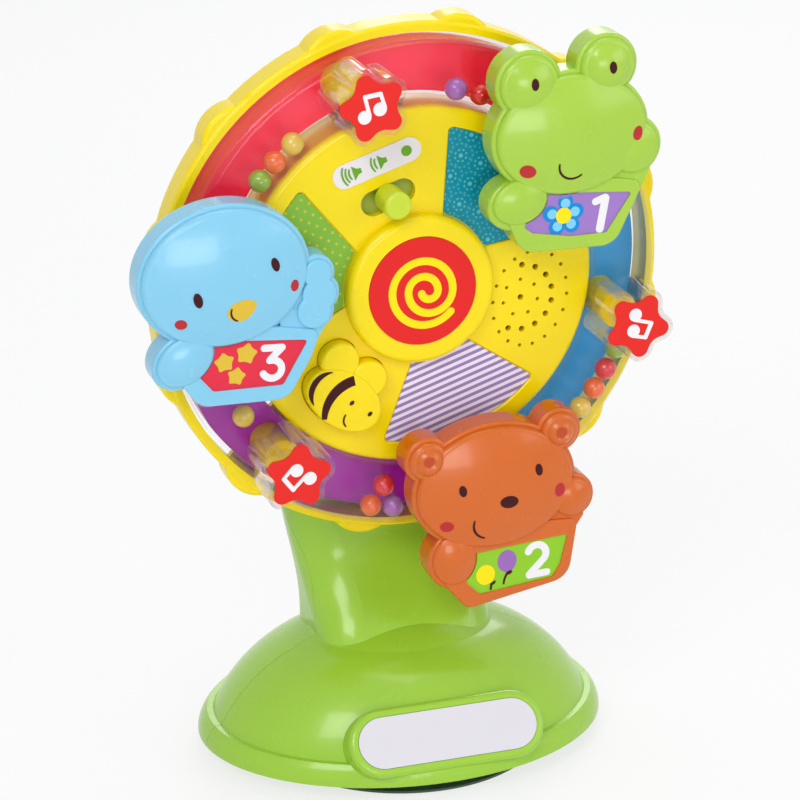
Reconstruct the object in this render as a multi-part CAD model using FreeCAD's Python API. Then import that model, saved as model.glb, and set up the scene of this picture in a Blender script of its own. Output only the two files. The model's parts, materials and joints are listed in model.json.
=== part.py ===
import FreeCAD, Part
import math
import os

from FreeCAD import Matrix, Placement, Rotation, Vector

# Tabletop spinner toy for a high chair tray: a free-turning wheel with a bead
# tube, three swinging animals and three stars, on a stand with a suction cup.
# Millimetres. +Z is up, the front faces -Y, +X is to the right seen from the
# front. The origin is on the tray, at the middle of the suction cup.

# ---- driving dimensions: stand ----------------------------------------------
BASE_WIDTH = 150.0            # X, over the skirt's lower edge
BASE_DEPTH = 117.0            # Y, over the skirt's lower edge
SKIRT_EDGE_Z = 6.5            # lower edge of the skirt above the tray
SKIRT_HEIGHT = 7.5
SKIRT_BULGE = -0.6            # how far the skirt's middle stands out past its lower edge
SKIRT_STEP = 2.2              # inward step between the skirt and the dome
DOME_INSET = 5.7              # dome foot inside the skirt's lower edge
DOME_HEIGHT = 37.0            # dome above the top of the skirt
DOME_WAIST = (56.4, 31.0)     # half width and height of two points on the dome
DOME_SHOULDER = (33.9, 43.3)
STAND_WALL = 2.5
AXLE_HEIGHT = 177.5           # wheel axis above the tray
STEM_FOOT_WIDTH = 65.0
STEM_NECK_WIDTH = 77.0        # where the stem passes the wheel's lowest point
STEM_HEAD_WIDTH = 82.0
STEM_FOOT_FRONT_Y = -17.5
STEM_FOOT_BACK_Y = 29.5
STEM_FRONT_Y = 3.0            # front of the stem behind the wheel
STEM_BACK_Y = 31.0
STEM_FOOT_Z = 44.0            # the flare starts here
STEM_FRONT_Z = 86.0           # and has run out here
STEM_FRONT_ROUND = 15.0       # in plan, before the squeeze to the base's depth
STEM_BACK_ROUND = 17.5
SEAM_LOW_Y = -4.0             # front and rear shells part here in the dome
SEAM_HIGH_Y = 16.0            # and here in the stem
SEAM_TURN_Z = 40.0
BASE_PLATE_THICKNESS = 2.5
CUP_RADIUS = 52.0
CUP_CENTRE_Y = 0.0
CUP_THICKNESS = 2.2
CUP_CROWN_Z = 5.6             # underside of the base plate rests on this
CUP_NUB_RADIUS = 11.0
CUP_NECK_RADIUS = 8.0
CUP_NECK_TOP_Z = 17.0
LABEL_WIDTH = 66.0
LABEL_HEIGHT = 18.0
LABEL_THICKNESS = 0.8
LABEL_CENTRE_Z = 22.5
LABEL_FACE_Y = 6.0 - BASE_DEPTH / 2   # label face at its centre
LABEL_LEAN = 32.0             # degrees back from upright
LABEL_RIM = 3.2               # raised rim around the label
LABEL_RECESS = 0.6

# ---- driving dimensions: wheel ----------------------------------------------
WHEEL_TURN = 18.0             # degrees, counter-clockwise from the upright pose
HOOP_RADIUS = 91.6
HOOP_WALL = 3.6
HOOP_DEPTH = 12.0
WHEEL_REAR_Y = 0.0
BUMP_COUNT = 12
BUMP_HEIGHT = 3.0
BUMP_RADIUS = 13.5
REAR_WALL = 2.2
DRUM_RADIUS = 63.6
DRUM_WALL = 2.0
SPOKE_WIDTH = 13.0
SPOKE_THICKNESS = 2.4
POST_CIRCLE = 75.0            # stars and animals stand on this radius
POST_RADIUS = 6.5
POST_FRONT_Y = -23.0
HUB_RADIUS = 10.0
HUB_REAR_Y = 1.0
AXLE_RADIUS = 4.0
AXLE_REAR_Y = 26.5
AXLE_HEAD_RADIUS = 7.0
AXLE_HEAD_THICKNESS = 1.6
HUB_FRONT_Y = -14.5
FACE_RADIUS = DRUM_RADIUS + 0.4
FACE_BACK_Y = -16.3
FACE_FRONT_Y = -19.3
FACE_EDGE_ROUND = 2.0
PANEL_RECESS = 1.2
PANEL_EDGE_ROUND = 0.7        # soft edge of the petals round each panel
PANEL_INNER = 26.8
PANEL_OUTER = 57.0
PANEL_INNER_HALF = 22.0       # half angle of a panel at its inner arc, degrees
PANEL_OUTER_HALF = 30.7
PANEL_CORNER = 1.6
PANEL_THICKNESS = 0.5
BOSS_RADIUS = 26.6
BOSS_FRONT_Y = -24.0
SWIRL_RADIUS = 19.3
SWIRL_THICKNESS = 0.8
TUBE_INNER = DRUM_RADIUS + 0.6
TUBE_OUTER = HOOP_RADIUS - HOOP_WALL - 0.7
TUBE_WALL = 1.2
TUBE_FRONT_Y = -21.5
TUBE_BACK_Y = -3.6
TUBE_REAR_THICKNESS = 1.0
TUBE_ROUND = 3.0
BACKING_OUTER = TUBE_OUTER - TUBE_WALL - 0.4
BACKING_THICKNESS = 0.7
BEAD_RADIUS = 3.9

# ---- driving dimensions: face fittings --------------------------------------
SLOT_CIRCLE = 34.9            # radius of the volume slot's middle
SLOT_WIDTH = 9.0
SLIDE_TRAVEL = 5.5            # each way from the middle notch
KNOB_RADIUS = 4.9
KNOB_FRONT_Y = -30.5
KNOB_NECK_RADIUS = 3.4
CARRIER_THICKNESS = 1.4
CARRIER_WIDTH = 14.0
SWITCH_LABEL_CIRCLE = 48.1
SWITCH_LABEL_LENGTH = 32.6
SWITCH_LABEL_WIDTH = 8.6
LABEL_SHEET = 0.4
BEE_CIRCLE = 46.5
BEE_ANGLE = 214.5
BEE_LENGTH = 31.0
BEE_HEIGHT = 20.0
BEE_WING_RADIUS = 7.0
BEE_WING_LIFT = 10.5          # wing centre towards the hub from the body centre
BEE_WING_SPREAD = 6.4
BEE_FRONT_Y = -24.5
BEE_STROKE = 1.5
BEE_FLANGE = 1.2
BEE_FLANGE_THICKNESS = 1.3
SPEAKER_CIRCLE = 38.6
SPEAKER_RADIUS = 15.0
SPEAKER_FRAME_DEPTH = 3.0
MAGNET_RADIUS = 8.5
MAGNET_DEPTH = 4.5
BATTERY_RADIUS = 5.25
BATTERY_LENGTH = 44.5
BATTERY_PITCH = 11.0
BATTERY_CIRCLE = 36.5
BATTERY_ANGLE = 45.0
TRAY_WALL = 1.2
BOARD_Y = -11.6
BOARD_INNER = 20.0
BOARD_OUTER = BEE_CIRCLE + 7.0
BOARD_THICKNESS = 1.6
SCREW_CIRCLE = 57.6
SCREW_RADIUS = 1.3
SCREW_HEAD_RADIUS = 2.5
SCREW_HEAD_DEPTH = 1.8
SCREW_BOSS_RADIUS = 3.2

# ---- driving dimensions: stars and animals ----------------------------------
STAR_TIP = 19.0                # sharp tip before rounding
STAR_TIP_ROUND = 4.9
STAR_NOTCH = 10.0
STAR_NOTCH_ROUND = 3.1
STAR_WALL = 1.8
STAR_FRONT_Y = -40.0
STAR_POST_RADIUS = 4.0
STAR_POST_FRONT_Y = -29.6
STICKER_INSET = 1.9
STICKER_THICKNESS = 0.5
PIN_RADIUS = 3.0
PIN_HEAD_RADIUS = 5.2
PIN_HEAD_THICKNESS = 1.6
PIN_SEAT_DEPTH = 11.0
ANIMAL_BACK_Y = -27.5
ANIMAL_PARTING_Y = -34.8
ANIMAL_PLATE_Y = -38.4        # front of the sign and of the figure's lower part
ANIMAL_EDGE_Y = -40.6         # front edge of the head before its dome
DOME_INSET_RIM = 1.4          # domes stand this far inside the figure's outline
DOME_ROUND = 2.0
HEAD_BULGE = 3.8
TOP_BULGE = 2.6
ARM_BULGE = 1.6
ANIMAL_WALL = 2.2
ANIMAL_ROUND = 1.8            # rear edges of the figures
PLATE_ROUND = 1.1             # front edges of their outline plates
EAR_DISH_RADIUS = 3.6
EAR_DISH_DEPTH = 1.1
SIGN_LIP = 0.9
PIVOT_BOSS_RADIUS = 6.5

# ---- clearances --------------------------------------------------------------
RUNNING = 0.05                # radial, shafts in bores
FIT = 0.3                     # between faces that pass each other
SEAT = 0.2                    # between fixed pieces
GRIP = 0.03                   # fixed shafts in their bores

FRONT = Vector(0, -1, 0)
BACK = Vector(0, 1, 0)
UP = Vector(0, 0, 1)


# ---- helpers -----------------------------------------------------------------
def polar(radius, degrees, y=0.0):
    """Point on the wheel at an angle counter-clockwise from +X, seen from the front."""
    angle = math.radians(degrees)
    return Vector(radius * math.cos(angle), y, radius * math.sin(angle))


def rod(radius, y_front, y_back, centre=Vector(0, 0, 0)):
    """Cylinder along Y between two depths."""
    return Part.makeCylinder(radius, y_back - y_front, Vector(centre.x, y_front, centre.z), BACK)


def ring(outer, inner, y_front, y_back, centre=Vector(0, 0, 0)):
    return rod(outer, y_front, y_back, centre).cut(rod(inner, y_front - 1, y_back + 1, centre))


def prism(wire, y_front, y_back):
    """Solid from a closed wire drawn at y = 0, between two depths."""
    face = Part.Face(wire)
    face.translate(Vector(0, y_front, 0))
    return face.extrude(Vector(0, y_back - y_front, 0))


def polygon_wire(points):
    return Part.makePolygon([Vector(x, 0, z) for x, z in points] + [Vector(points[0][0], 0, points[0][1])])


def upright_edges(solid):
    """Straight edges that run along Y."""
    found = []
    for edge in solid.Edges:
        if len(edge.Vertexes) == 2:
            run = edge.Vertexes[1].Point - edge.Vertexes[0].Point
            if abs(abs(run.y) - run.Length) < 1e-6 and isinstance(edge.Curve, Part.Line):
                found.append(edge)
    return found


def rounded_prism(corners, y_front, y_back):
    """Prism on a polygon with round corners; each corner is (x, z, rounding)."""
    points = [Vector(x, 0, z) for x, z, _ in corners]
    stops = []
    for k, point in enumerate(points):
        inward = (points[k - 1] - point).normalize()
        outward = (points[(k + 1) % len(points)] - point).normalize()
        half = inward.getAngle(outward) / 2.0
        rounding = corners[k][2]
        run = rounding / math.tan(half)
        bisector = (inward + outward).normalize()
        middle = point + bisector * (rounding / math.sin(half) - rounding)
        stops.append((point + inward * run, middle, point + outward * run))
    edges = []
    for k, (start, middle, end) in enumerate(stops):
        edges.append(Part.Arc(start, middle, end).toShape())
        edges.append(Part.makeLine(end, stops[(k + 1) % len(stops)][0]))
    return prism(Part.Wire(edges), y_front, y_back)


def edges_at(solid, y):
    """Edges that lie wholly in the plane at depth y."""
    return [e for e in solid.Edges if abs(e.BoundBox.YMin - y) < 1e-4 and abs(e.BoundBox.YMax - y) < 1e-4]


def pill(length, width, y_front, y_back):
    """Stadium-shaped plate along X, centred on the Y axis."""
    half = length / 2.0 - width / 2.0
    r = width / 2.0
    wire = Part.Wire([
        Part.makeLine(Vector(-half, 0, -r), Vector(half, 0, -r)),
        Part.Arc(Vector(half, 0, -r), Vector(half + r, 0, 0), Vector(half, 0, r)).toShape(),
        Part.makeLine(Vector(half, 0, r), Vector(-half, 0, r)),
        Part.Arc(Vector(-half, 0, r), Vector(-half - r, 0, 0), Vector(-half, 0, -r)).toShape(),
    ])
    return prism(wire, y_front, y_back)


def turn(shape, degrees):
    """Turn counter-clockwise about the Y axis, seen from the front."""
    copy = shape.copy()
    copy.rotate(Vector(0, 0, 0), FRONT, degrees)
    return copy


def move(shape, vector):
    copy = shape.copy()
    copy.translate(vector)
    return copy


def at_polar(shape, radius, degrees):
    """Carry a shape drawn round the Y axis, its top outwards, to a place on the wheel."""
    return move(turn(shape, degrees - 90.0), polar(radius, degrees))


def fused(shapes):
    result = shapes[0]
    if len(shapes) > 1:
        result = shapes[0].multiFuse(shapes[1:])
    return result.removeSplitter()


def lobe(place, y_front, y_back, grow=0.0, round_front=0.0, round_back=0.0, bulge=0.0):
    """Oval puck; place is (centre x, centre z, half width, half height, tilt).

    It is a body of revolution about Y, with rounded edges and a front that may
    bulge forward, squeezed to its height.
    """
    x, z, half_x, half_z, tilt = place
    radius = half_x + grow
    outline = [Vector(0, y_back, 0), Vector(radius - round_back, y_back, 0)]
    edges = [Part.makeLine(outline[0], outline[1])]
    low = Vector(radius, y_back - round_back, 0)
    if round_back > 0:
        bend = round_back * (1 - math.sqrt(0.5))
        edges.append(Part.Arc(outline[1], Vector(radius - bend, y_back - bend, 0), low).toShape())
    high = Vector(radius, y_front + round_front, 0)
    edges.append(Part.makeLine(low, high))
    rim = Vector(radius - round_front, y_front, 0)
    if round_front > 0:
        bend = round_front * (1 - math.sqrt(0.5))
        edges.append(Part.Arc(high, Vector(radius - bend, y_front + bend, 0), rim).toShape())
    tip = Vector(0, y_front - bulge, 0)
    if bulge > 0:
        sphere = (rim.x ** 2 + bulge ** 2) / (2 * bulge)
        middle_y = tip.y + sphere - math.sqrt(sphere ** 2 - (rim.x / 2) ** 2)
        edges.append(Part.Arc(rim, Vector(rim.x / 2, middle_y, 0), tip).toShape())
    else:
        edges.append(Part.makeLine(rim, tip))
    edges.append(Part.makeLine(tip, outline[0]))
    solid = Part.Face(Part.Wire(edges)).revolve(Vector(0, 0, 0), BACK, 360)
    if abs(half_x - half_z) > 1e-9:
        stretch = Matrix()
        stretch.scale(1.0, 1.0, (half_z + grow) / radius)
        solid = solid.transformGeometry(stretch)
    solid.rotate(Vector(0, 0, 0), FRONT, tilt)
    solid.translate(Vector(x, 0, z))
    return solid


def sector(inner, outer, from_deg, to_deg, y_front, y_back):
    """Part of a flat ring between two angles, counter-clockwise."""
    middle = (from_deg + to_deg) / 2.0
    wire = Part.Wire([
        Part.Arc(polar(outer, from_deg), polar(outer, middle), polar(outer, to_deg)).toShape(),
        Part.makeLine(polar(outer, to_deg), polar(inner, to_deg)),
        Part.Arc(polar(inner, to_deg), polar(inner, middle), polar(inner, from_deg)).toShape(),
        Part.makeLine(polar(inner, from_deg), polar(outer, from_deg)),
    ])
    return prism(wire, y_front, y_back)


def panel(centre_deg, y_front, y_back, shrink=0.0, reach=0.0):
    """Wedge-shaped panel between two petals of the face, straight sides and round corners.

    reach carries its sides on inwards, under the middle boss.
    """
    inner = PANEL_INNER + shrink
    outer = PANEL_OUTER - shrink
    slack_inner = math.degrees(shrink / PANEL_INNER)
    slack_outer = math.degrees(shrink / PANEL_OUTER)
    a_in = PANEL_INNER_HALF - slack_inner
    a_out = PANEL_OUTER_HALF - slack_outer
    corners = [polar(outer, centre_deg - a_out), polar(outer, centre_deg + a_out),
               polar(inner, centre_deg + a_in), polar(inner, centre_deg - a_in)]
    for here, there in ((2, 1), (3, 0)):
        corners[here] += (corners[here] - corners[there]).normalize() * reach
    wire = Part.Wire([
        Part.Arc(corners[0], polar(outer, centre_deg), corners[1]).toShape(),
        Part.makeLine(corners[1], corners[2]),
        Part.Arc(corners[2], polar(corners[2].Length, centre_deg), corners[3]).toShape(),
        Part.makeLine(corners[3], corners[0]),
    ])
    solid = prism(wire, y_front, y_back)
    return solid.makeFillet(PANEL_CORNER, upright_edges(solid))


def plump_star(inset, y_front, y_back):
    """Five-pointed star with round tips and notches, one tip straight up, drawn in by an inset."""
    notch = polar(STAR_NOTCH, 36.0)
    lean = math.atan2(notch.z, STAR_TIP - notch.x)
    tip_reach = STAR_TIP - inset / math.sin(lean)
    notch_reach = STAR_NOTCH - inset / math.sin(lean + math.pi / 5.0)
    corners = []
    for k in range(5):
        tip = polar(tip_reach, 90.0 + 72.0 * k)
        gap = polar(notch_reach, 126.0 + 72.0 * k)
        corners += [(tip.x, tip.z, STAR_TIP_ROUND - inset), (gap.x, gap.z, STAR_NOTCH_ROUND + inset)]
    return rounded_prism(corners, y_front, y_back)


def screw(y_head_back, length, centre):
    """Screw driven from behind: head at the back, shank towards the front."""
    head = rod(SCREW_HEAD_RADIUS, y_head_back - SCREW_HEAD_DEPTH, y_head_back, centre)
    shank = rod(SCREW_RADIUS, y_head_back - length, y_head_back - SCREW_HEAD_DEPTH, centre)
    return head.fuse(shank)


# ---- stand -------------------------------------------------------------------
# The stand is modelled stretched in Y, where its base is round in plan, and the
# whole is then squeezed to the base's depth.
BASE_HALF = BASE_WIDTH / 2.0
SQUEEZE = BASE_DEPTH / BASE_WIDTH
SKIRT_TOP_Z = SKIRT_EDGE_Z + SKIRT_HEIGHT
DOME_FOOT = BASE_HALF - DOME_INSET
STEM_HEAD_RADIUS = STEM_HEAD_WIDTH / 2.0
STEM_HEAD_Z = AXLE_HEIGHT - 4.0
WHEEL_BOTTOM_Z = AXLE_HEIGHT - HOOP_RADIUS - BUMP_HEIGHT
SEAM_TOP_Z = STEM_HEAD_Z + STEM_HEAD_WIDTH


def deep(y):
    """Depth in the stretched space for a depth of the finished stand."""
    return y / SQUEEZE


def scaled_in_y(shape, factor):
    stretch = Matrix()
    stretch.scale(1.0, factor, 1.0)
    return shape.transformGeometry(stretch)


def base_solid(inset, low_z):
    """Skirt and dome as one body of revolution."""
    foot = BASE_HALF - inset
    dome_low = SKIRT_TOP_Z - 0.4 * inset
    crown_z = SKIRT_TOP_Z + DOME_HEIGHT - inset
    step = Vector(DOME_FOOT + SKIRT_STEP - inset, 0, dome_low)
    dome_foot = Vector(DOME_FOOT - inset, 0, dome_low)
    waist = Vector(DOME_WAIST[0] - 0.75 * inset, 0, DOME_WAIST[1] - 0.66 * inset)
    shoulder = Vector(DOME_SHOULDER[0] - 0.45 * inset, 0, DOME_SHOULDER[1] - 0.9 * inset)
    crown = Vector(0, 0, crown_z)
    near_crown = Vector(shoulder.x / 2, 0, crown_z - 0.27 * (crown_z - shoulder.z))
    skirt_middle = Vector(foot + SKIRT_BULGE, 0, SKIRT_EDGE_Z + SKIRT_HEIGHT * 0.42)
    edges = [
        Part.makeLine(Vector(0, 0, low_z), Vector(foot, 0, low_z)),
        Part.Arc(Vector(foot, 0, SKIRT_EDGE_Z), skirt_middle, step).toShape(),
        Part.makeLine(step, dome_foot),
        Part.Arc(dome_foot, waist, shoulder).toShape(),
        Part.Arc(shoulder, near_crown, crown).toShape(),
        Part.makeLine(crown, Vector(0, 0, low_z)),
    ]
    if low_z < SKIRT_EDGE_Z:
        edges.insert(1, Part.makeLine(Vector(foot, 0, low_z), Vector(foot, 0, SKIRT_EDGE_Z)))
    return Part.Face(Part.Wire(edges)).revolve(Vector(0, 0, 0), UP, 360)


def stem_solid(inset):
    """Stem: its front outline crossed with its side outline, long edges rounded."""
    low_z = SKIRT_TOP_Z + 8.0
    foot = STEM_FOOT_WIDTH / 2 - inset
    neck = STEM_NECK_WIDTH / 2 - inset
    head = STEM_HEAD_RADIUS - inset
    right = Part.BSplineCurve()
    right.interpolate(
        [Vector(foot, 0, STEM_FOOT_Z), Vector(neck, 0, WHEEL_BOTTOM_Z), Vector(head, 0, STEM_HEAD_Z)],
        InitialTangent=UP, FinalTangent=UP)
    left = Part.BSplineCurve()
    left.interpolate(
        [Vector(-head, 0, STEM_HEAD_Z), Vector(-neck, 0, WHEEL_BOTTOM_Z), Vector(-foot, 0, STEM_FOOT_Z)],
        InitialTangent=-UP, FinalTangent=-UP)
    front_outline = Part.Wire([
        Part.makeLine(Vector(-foot, 0, low_z), Vector(foot, 0, low_z)),
        Part.makeLine(Vector(foot, 0, low_z), Vector(foot, 0, STEM_FOOT_Z)),
        right.toShape(),
        Part.Arc(Vector(head, 0, STEM_HEAD_Z), Vector(0, 0, STEM_HEAD_Z + head), Vector(-head, 0, STEM_HEAD_Z)).toShape(),
        left.toShape(),
        Part.makeLine(Vector(-foot, 0, STEM_FOOT_Z), Vector(-foot, 0, low_z)),
    ])
    front = prism(front_outline, -90, 90)
    foot_y = deep(STEM_FOOT_FRONT_Y) + inset
    front_y = deep(STEM_FRONT_Y) + inset
    back_y = deep(STEM_BACK_Y) - inset
    back_foot_y = deep(STEM_FOOT_BACK_Y) - inset
    top_z = STEM_HEAD_Z + STEM_HEAD_RADIUS + 10
    flare = Part.BSplineCurve()
    flare.interpolate(
        [Vector(0, foot_y, STEM_FOOT_Z), Vector(0, foot_y + (front_y - foot_y) * 0.44, STEM_FOOT_Z + 13),
         Vector(0, foot_y + (front_y - foot_y) * 0.87, STEM_FOOT_Z + 26), Vector(0, front_y, STEM_FRONT_Z)],
        InitialTangent=Vector(0, 0.5, 1), FinalTangent=UP)
    lean = 0.5 * (STEM_FOOT_Z - low_z)
    side_outline = Part.Wire([
        Part.makeLine(Vector(0, foot_y - lean, low_z), Vector(0, foot_y, STEM_FOOT_Z)),
        flare.toShape(),
        Part.makeLine(Vector(0, front_y, STEM_FRONT_Z), Vector(0, front_y, top_z)),
        Part.makeLine(Vector(0, front_y, top_z), Vector(0, back_y, top_z)),
        Part.makeLine(Vector(0, back_y, top_z), Vector(0, back_foot_y, low_z)),
        Part.makeLine(Vector(0, back_foot_y, low_z), Vector(0, foot_y - lean, low_z)),
    ])
    side = Part.Face(side_outline)
    side.translate(Vector(-80, 0, 0))
    solid = front.common(side.extrude(Vector(160, 0, 0)))
    upright = [e for e in solid.Edges if e.BoundBox.ZLength > 1]
    depth = deep(STEM_BACK_Y) - deep(STEM_FRONT_Y)
    front_round = min(STEM_FRONT_ROUND, 0.43 * depth) - inset
    back_round = min(STEM_BACK_ROUND, 0.49 * depth) - inset
    solid = solid.makeFillet(front_round, [e for e in upright if e.BoundBox.YMax < front_y + 0.01])
    upright = [e for e in solid.Edges if e.BoundBox.ZLength > 1]
    return solid.makeFillet(back_round, [e for e in upright if e.BoundBox.YMin > back_y - 1])


def front_side(offset):
    """Everything in front of the seam between the two stand shells."""
    low = deep(SEAM_LOW_Y + offset)
    high = deep(SEAM_HIGH_Y + offset)
    points = [(low, -20), (low, SEAM_TURN_Z), (high, WHEEL_BOTTOM_Z + 10), (high, SEAM_TOP_Z), (-150, SEAM_TOP_Z), (-150, -20)]
    wire = Part.makePolygon([Vector(-120, y, z) for y, z in points + points[:1]])
    return Part.Face(wire).extrude(Vector(240, 0, 0))


def on_label(shape):
    """Carry a shape drawn round the Y axis with its face at y = 0 to the label's place."""
    copy = shape.copy()
    copy.rotate(Vector(0, 0, 0), Vector(1, 0, 0), -LABEL_LEAN)
    copy.translate(Vector(0, LABEL_FACE_Y, LABEL_CENTRE_Z))
    return copy


def label_pad():
    """Raised pill-shaped pad on the front of the skirt that carries the label."""
    pad = pill(LABEL_WIDTH + 2 * LABEL_RIM, LABEL_HEIGHT + 2 * LABEL_RIM, 0, 16)
    pad = pad.makeFillet(2.0, edges_at(pad, 0))
    above_edge = Part.makeBox(200, 200, 100, Vector(-100, -100, SKIRT_EDGE_Z))
    return on_label(pad).common(above_edge)


def boss(radius, y_front, y_back, centre):
    """Round boss along Y in the stretched space."""
    return rod(radius, deep(y_front), deep(y_back), centre)


def stand_shells():
    axis = Vector(0, 0, AXLE_HEIGHT)
    outer = base_solid(0, SKIRT_EDGE_Z).fuse(stem_solid(0)).fuse(scaled_in_y(label_pad(), 1 / SQUEEZE))
    hollow = base_solid(STAND_WALL, SKIRT_EDGE_Z - 1).fuse(stem_solid(STAND_WALL))
    shell = outer.cut(hollow)
    front = shell.common(front_side(-SEAT / 2))
    rear = shell.cut(front_side(SEAT / 2))
    front = front.fuse(boss(BUSH_BOSS_RADIUS, BOSS_FACE_Y, FRONT_BOSS_BACK_Y, axis))
    front = front.cut(boss(BUSH_OUTER + GRIP, BOSS_FACE_Y - 5, FRONT_BOSS_BACK_Y + 5, axis))
    rear_boss = boss(BUSH_BOSS_RADIUS, REAR_BOSS_FRONT_Y, STEM_BACK_Y, axis)
    rear_bore = boss(BUSH_OUTER + GRIP, REAR_BOSS_FRONT_Y - 1, REAR_BOSS_FRONT_Y + REAR_BUSH_LENGTH, axis)
    rear = rear.fuse(rear_boss.cut(rear_bore))
    for x, z in STAND_SCREW_PLACES:
        centre = Vector(x, 0, z)
        front = front.fuse(boss(SCREW_BOSS_RADIUS, STEM_FRONT_Y + 1.0, SEAM_HIGH_Y - SEAT / 2, centre))
        front = front.cut(boss(SCREW_RADIUS + GRIP, STEM_FRONT_Y + 3.0, SEAM_HIGH_Y + 1, centre))
        rear = rear.fuse(boss(SCREW_BOSS_RADIUS, SEAM_HIGH_Y + SEAT / 2, STEM_BACK_Y, centre))
        rear = rear.cut(boss(SCREW_RADIUS + GRIP, SEAM_HIGH_Y - 1, STEM_BACK_Y + 1, centre))
        rear = rear.cut(boss(SCREW_HEAD_RADIUS + SEAT, STEM_BACK_Y - SCREW_HEAD_DEPTH - 0.6, STEM_BACK_Y + 3, centre))
    for centre in BASE_SCREW_PLACES:
        foot = Vector(centre.x, deep(centre.y), PLATE_TOP_Z)
        post = Part.makeCylinder(SCREW_BOSS_RADIUS, BASE_POST_TOP_Z - PLATE_TOP_Z, foot).common(outer)
        if centre.y < SEAM_LOW_Y:
            front = front.fuse(post)
        else:
            rear = rear.fuse(post)
    shells = []
    for shell in (front, rear):
        shell = scaled_in_y(shell, SQUEEZE)
        for centre in BASE_SCREW_PLACES:
            foot = Vector(centre.x, centre.y, PLATE_TOP_Z - 1)
            shell = shell.cut(Part.makeCylinder(SCREW_RADIUS + GRIP, BASE_SCREW_LENGTH, foot))
        shells.append(shell)
    recess = on_label(pill(LABEL_WIDTH + 2 * SEAT, LABEL_HEIGHT + 2 * SEAT, -2, LABEL_RECESS))
    return shells[0].cut(recess), shells[1]


BUSH_OUTER = 6.0
BUSH_FLANGE_RADIUS = 7.6
BUSH_FLANGE = 1.0
BUSH_BOSS_RADIUS = 9.5
BOSS_FACE_Y = STEM_FRONT_Y - 0.7
FRONT_BOSS_BACK_Y = 14.0
REAR_BOSS_FRONT_Y = 20.0
REAR_BUSH_LENGTH = 7.0
THRUST_WASHER_RADIUS = 9.0
CLIP_THICKNESS = 1.0
CLIP_RADIUS = 7.4
PLATE_TOP_Z = SKIRT_EDGE_Z + BASE_PLATE_THICKNESS
BASE_POST_TOP_Z = DOME_WAIST[1] + 3.0
BASE_SCREW_LENGTH = 12.0
STAND_SCREW_PLACES = [(x, z) for z in (112.0, 150.0) for x in (-21.0, 21.0)]
BASE_SCREW_PLACES = [Vector(x, y, 0) for x in (-44.0, 44.0) for y in (-22.0, 22.0)]


def front_bush():
    bush = rod(BUSH_OUTER, BOSS_FACE_Y, FRONT_BOSS_BACK_Y, Vector(0, 0, AXLE_HEIGHT))
    flange = rod(BUSH_FLANGE_RADIUS, FRONT_BOSS_BACK_Y, FRONT_BOSS_BACK_Y + BUSH_FLANGE, Vector(0, 0, AXLE_HEIGHT))
    bore = rod(AXLE_RADIUS + RUNNING, BOSS_FACE_Y - 1, FRONT_BOSS_BACK_Y + 5, Vector(0, 0, AXLE_HEIGHT))
    return bush.fuse(flange).cut(bore)


def rear_bush():
    axis = Vector(0, 0, AXLE_HEIGHT)
    bush = rod(BUSH_OUTER, REAR_BOSS_FRONT_Y, REAR_BOSS_FRONT_Y + REAR_BUSH_LENGTH, axis)
    flange = rod(BUSH_FLANGE_RADIUS, REAR_BOSS_FRONT_Y - BUSH_FLANGE, REAR_BOSS_FRONT_Y, axis)
    bore = rod(AXLE_RADIUS + RUNNING, REAR_BOSS_FRONT_Y - 5, REAR_BOSS_FRONT_Y + REAR_BUSH_LENGTH + 1, axis)
    return bush.fuse(flange).cut(bore)


def thrust_washer():
    back = BOSS_FACE_Y
    front = HUB_REAR_Y + FIT / 2
    return ring(THRUST_WASHER_RADIUS, AXLE_RADIUS + RUNNING, front, back, Vector(0, 0, AXLE_HEIGHT))


def base_plate():
    """Oval floor that closes the stand, with a hole for the neck of the cup."""
    low = SKIRT_EDGE_Z
    plate = Part.makeCylinder(BASE_HALF - STAND_WALL - SEAT, BASE_PLATE_THICKNESS, Vector(0, 0, low))
    plate = scaled_in_y(plate, SQUEEZE)
    neck = Vector(0, CUP_CENTRE_Y, low - 1)
    plate = plate.cut(Part.makeCylinder(CUP_NECK_RADIUS + SEAT, BASE_PLATE_THICKNESS + 2, neck))
    for centre in BASE_SCREW_PLACES:
        foot = Vector(centre.x, centre.y, low - 1)
        plate = plate.cut(Part.makeCylinder(SCREW_RADIUS + GRIP, 10, foot))
        plate = plate.cut(Part.makeCylinder(SCREW_HEAD_RADIUS + SEAT, SCREW_HEAD_DEPTH + 0.4, foot))
    return plate


def base_screws():
    shapes = []
    for centre in BASE_SCREW_PLACES:
        low = SKIRT_EDGE_Z - 0.6
        head = Part.makeCylinder(SCREW_HEAD_RADIUS, SCREW_HEAD_DEPTH, Vector(centre.x, centre.y, low))
        shank = Part.makeCylinder(SCREW_RADIUS, BASE_SCREW_LENGTH - 2, Vector(centre.x, centre.y, low + SCREW_HEAD_DEPTH))
        shapes.append(head.fuse(shank))
    return Part.makeCompound(shapes)


def stand_screws():
    shapes = []
    for x, z in STAND_SCREW_PLACES:
        shapes.append(screw(STEM_BACK_Y - 0.6, STEM_BACK_Y - 0.6 - STEM_FRONT_Y - 6.0, Vector(x, 0, z)))
    return Part.makeCompound(shapes)


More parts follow.
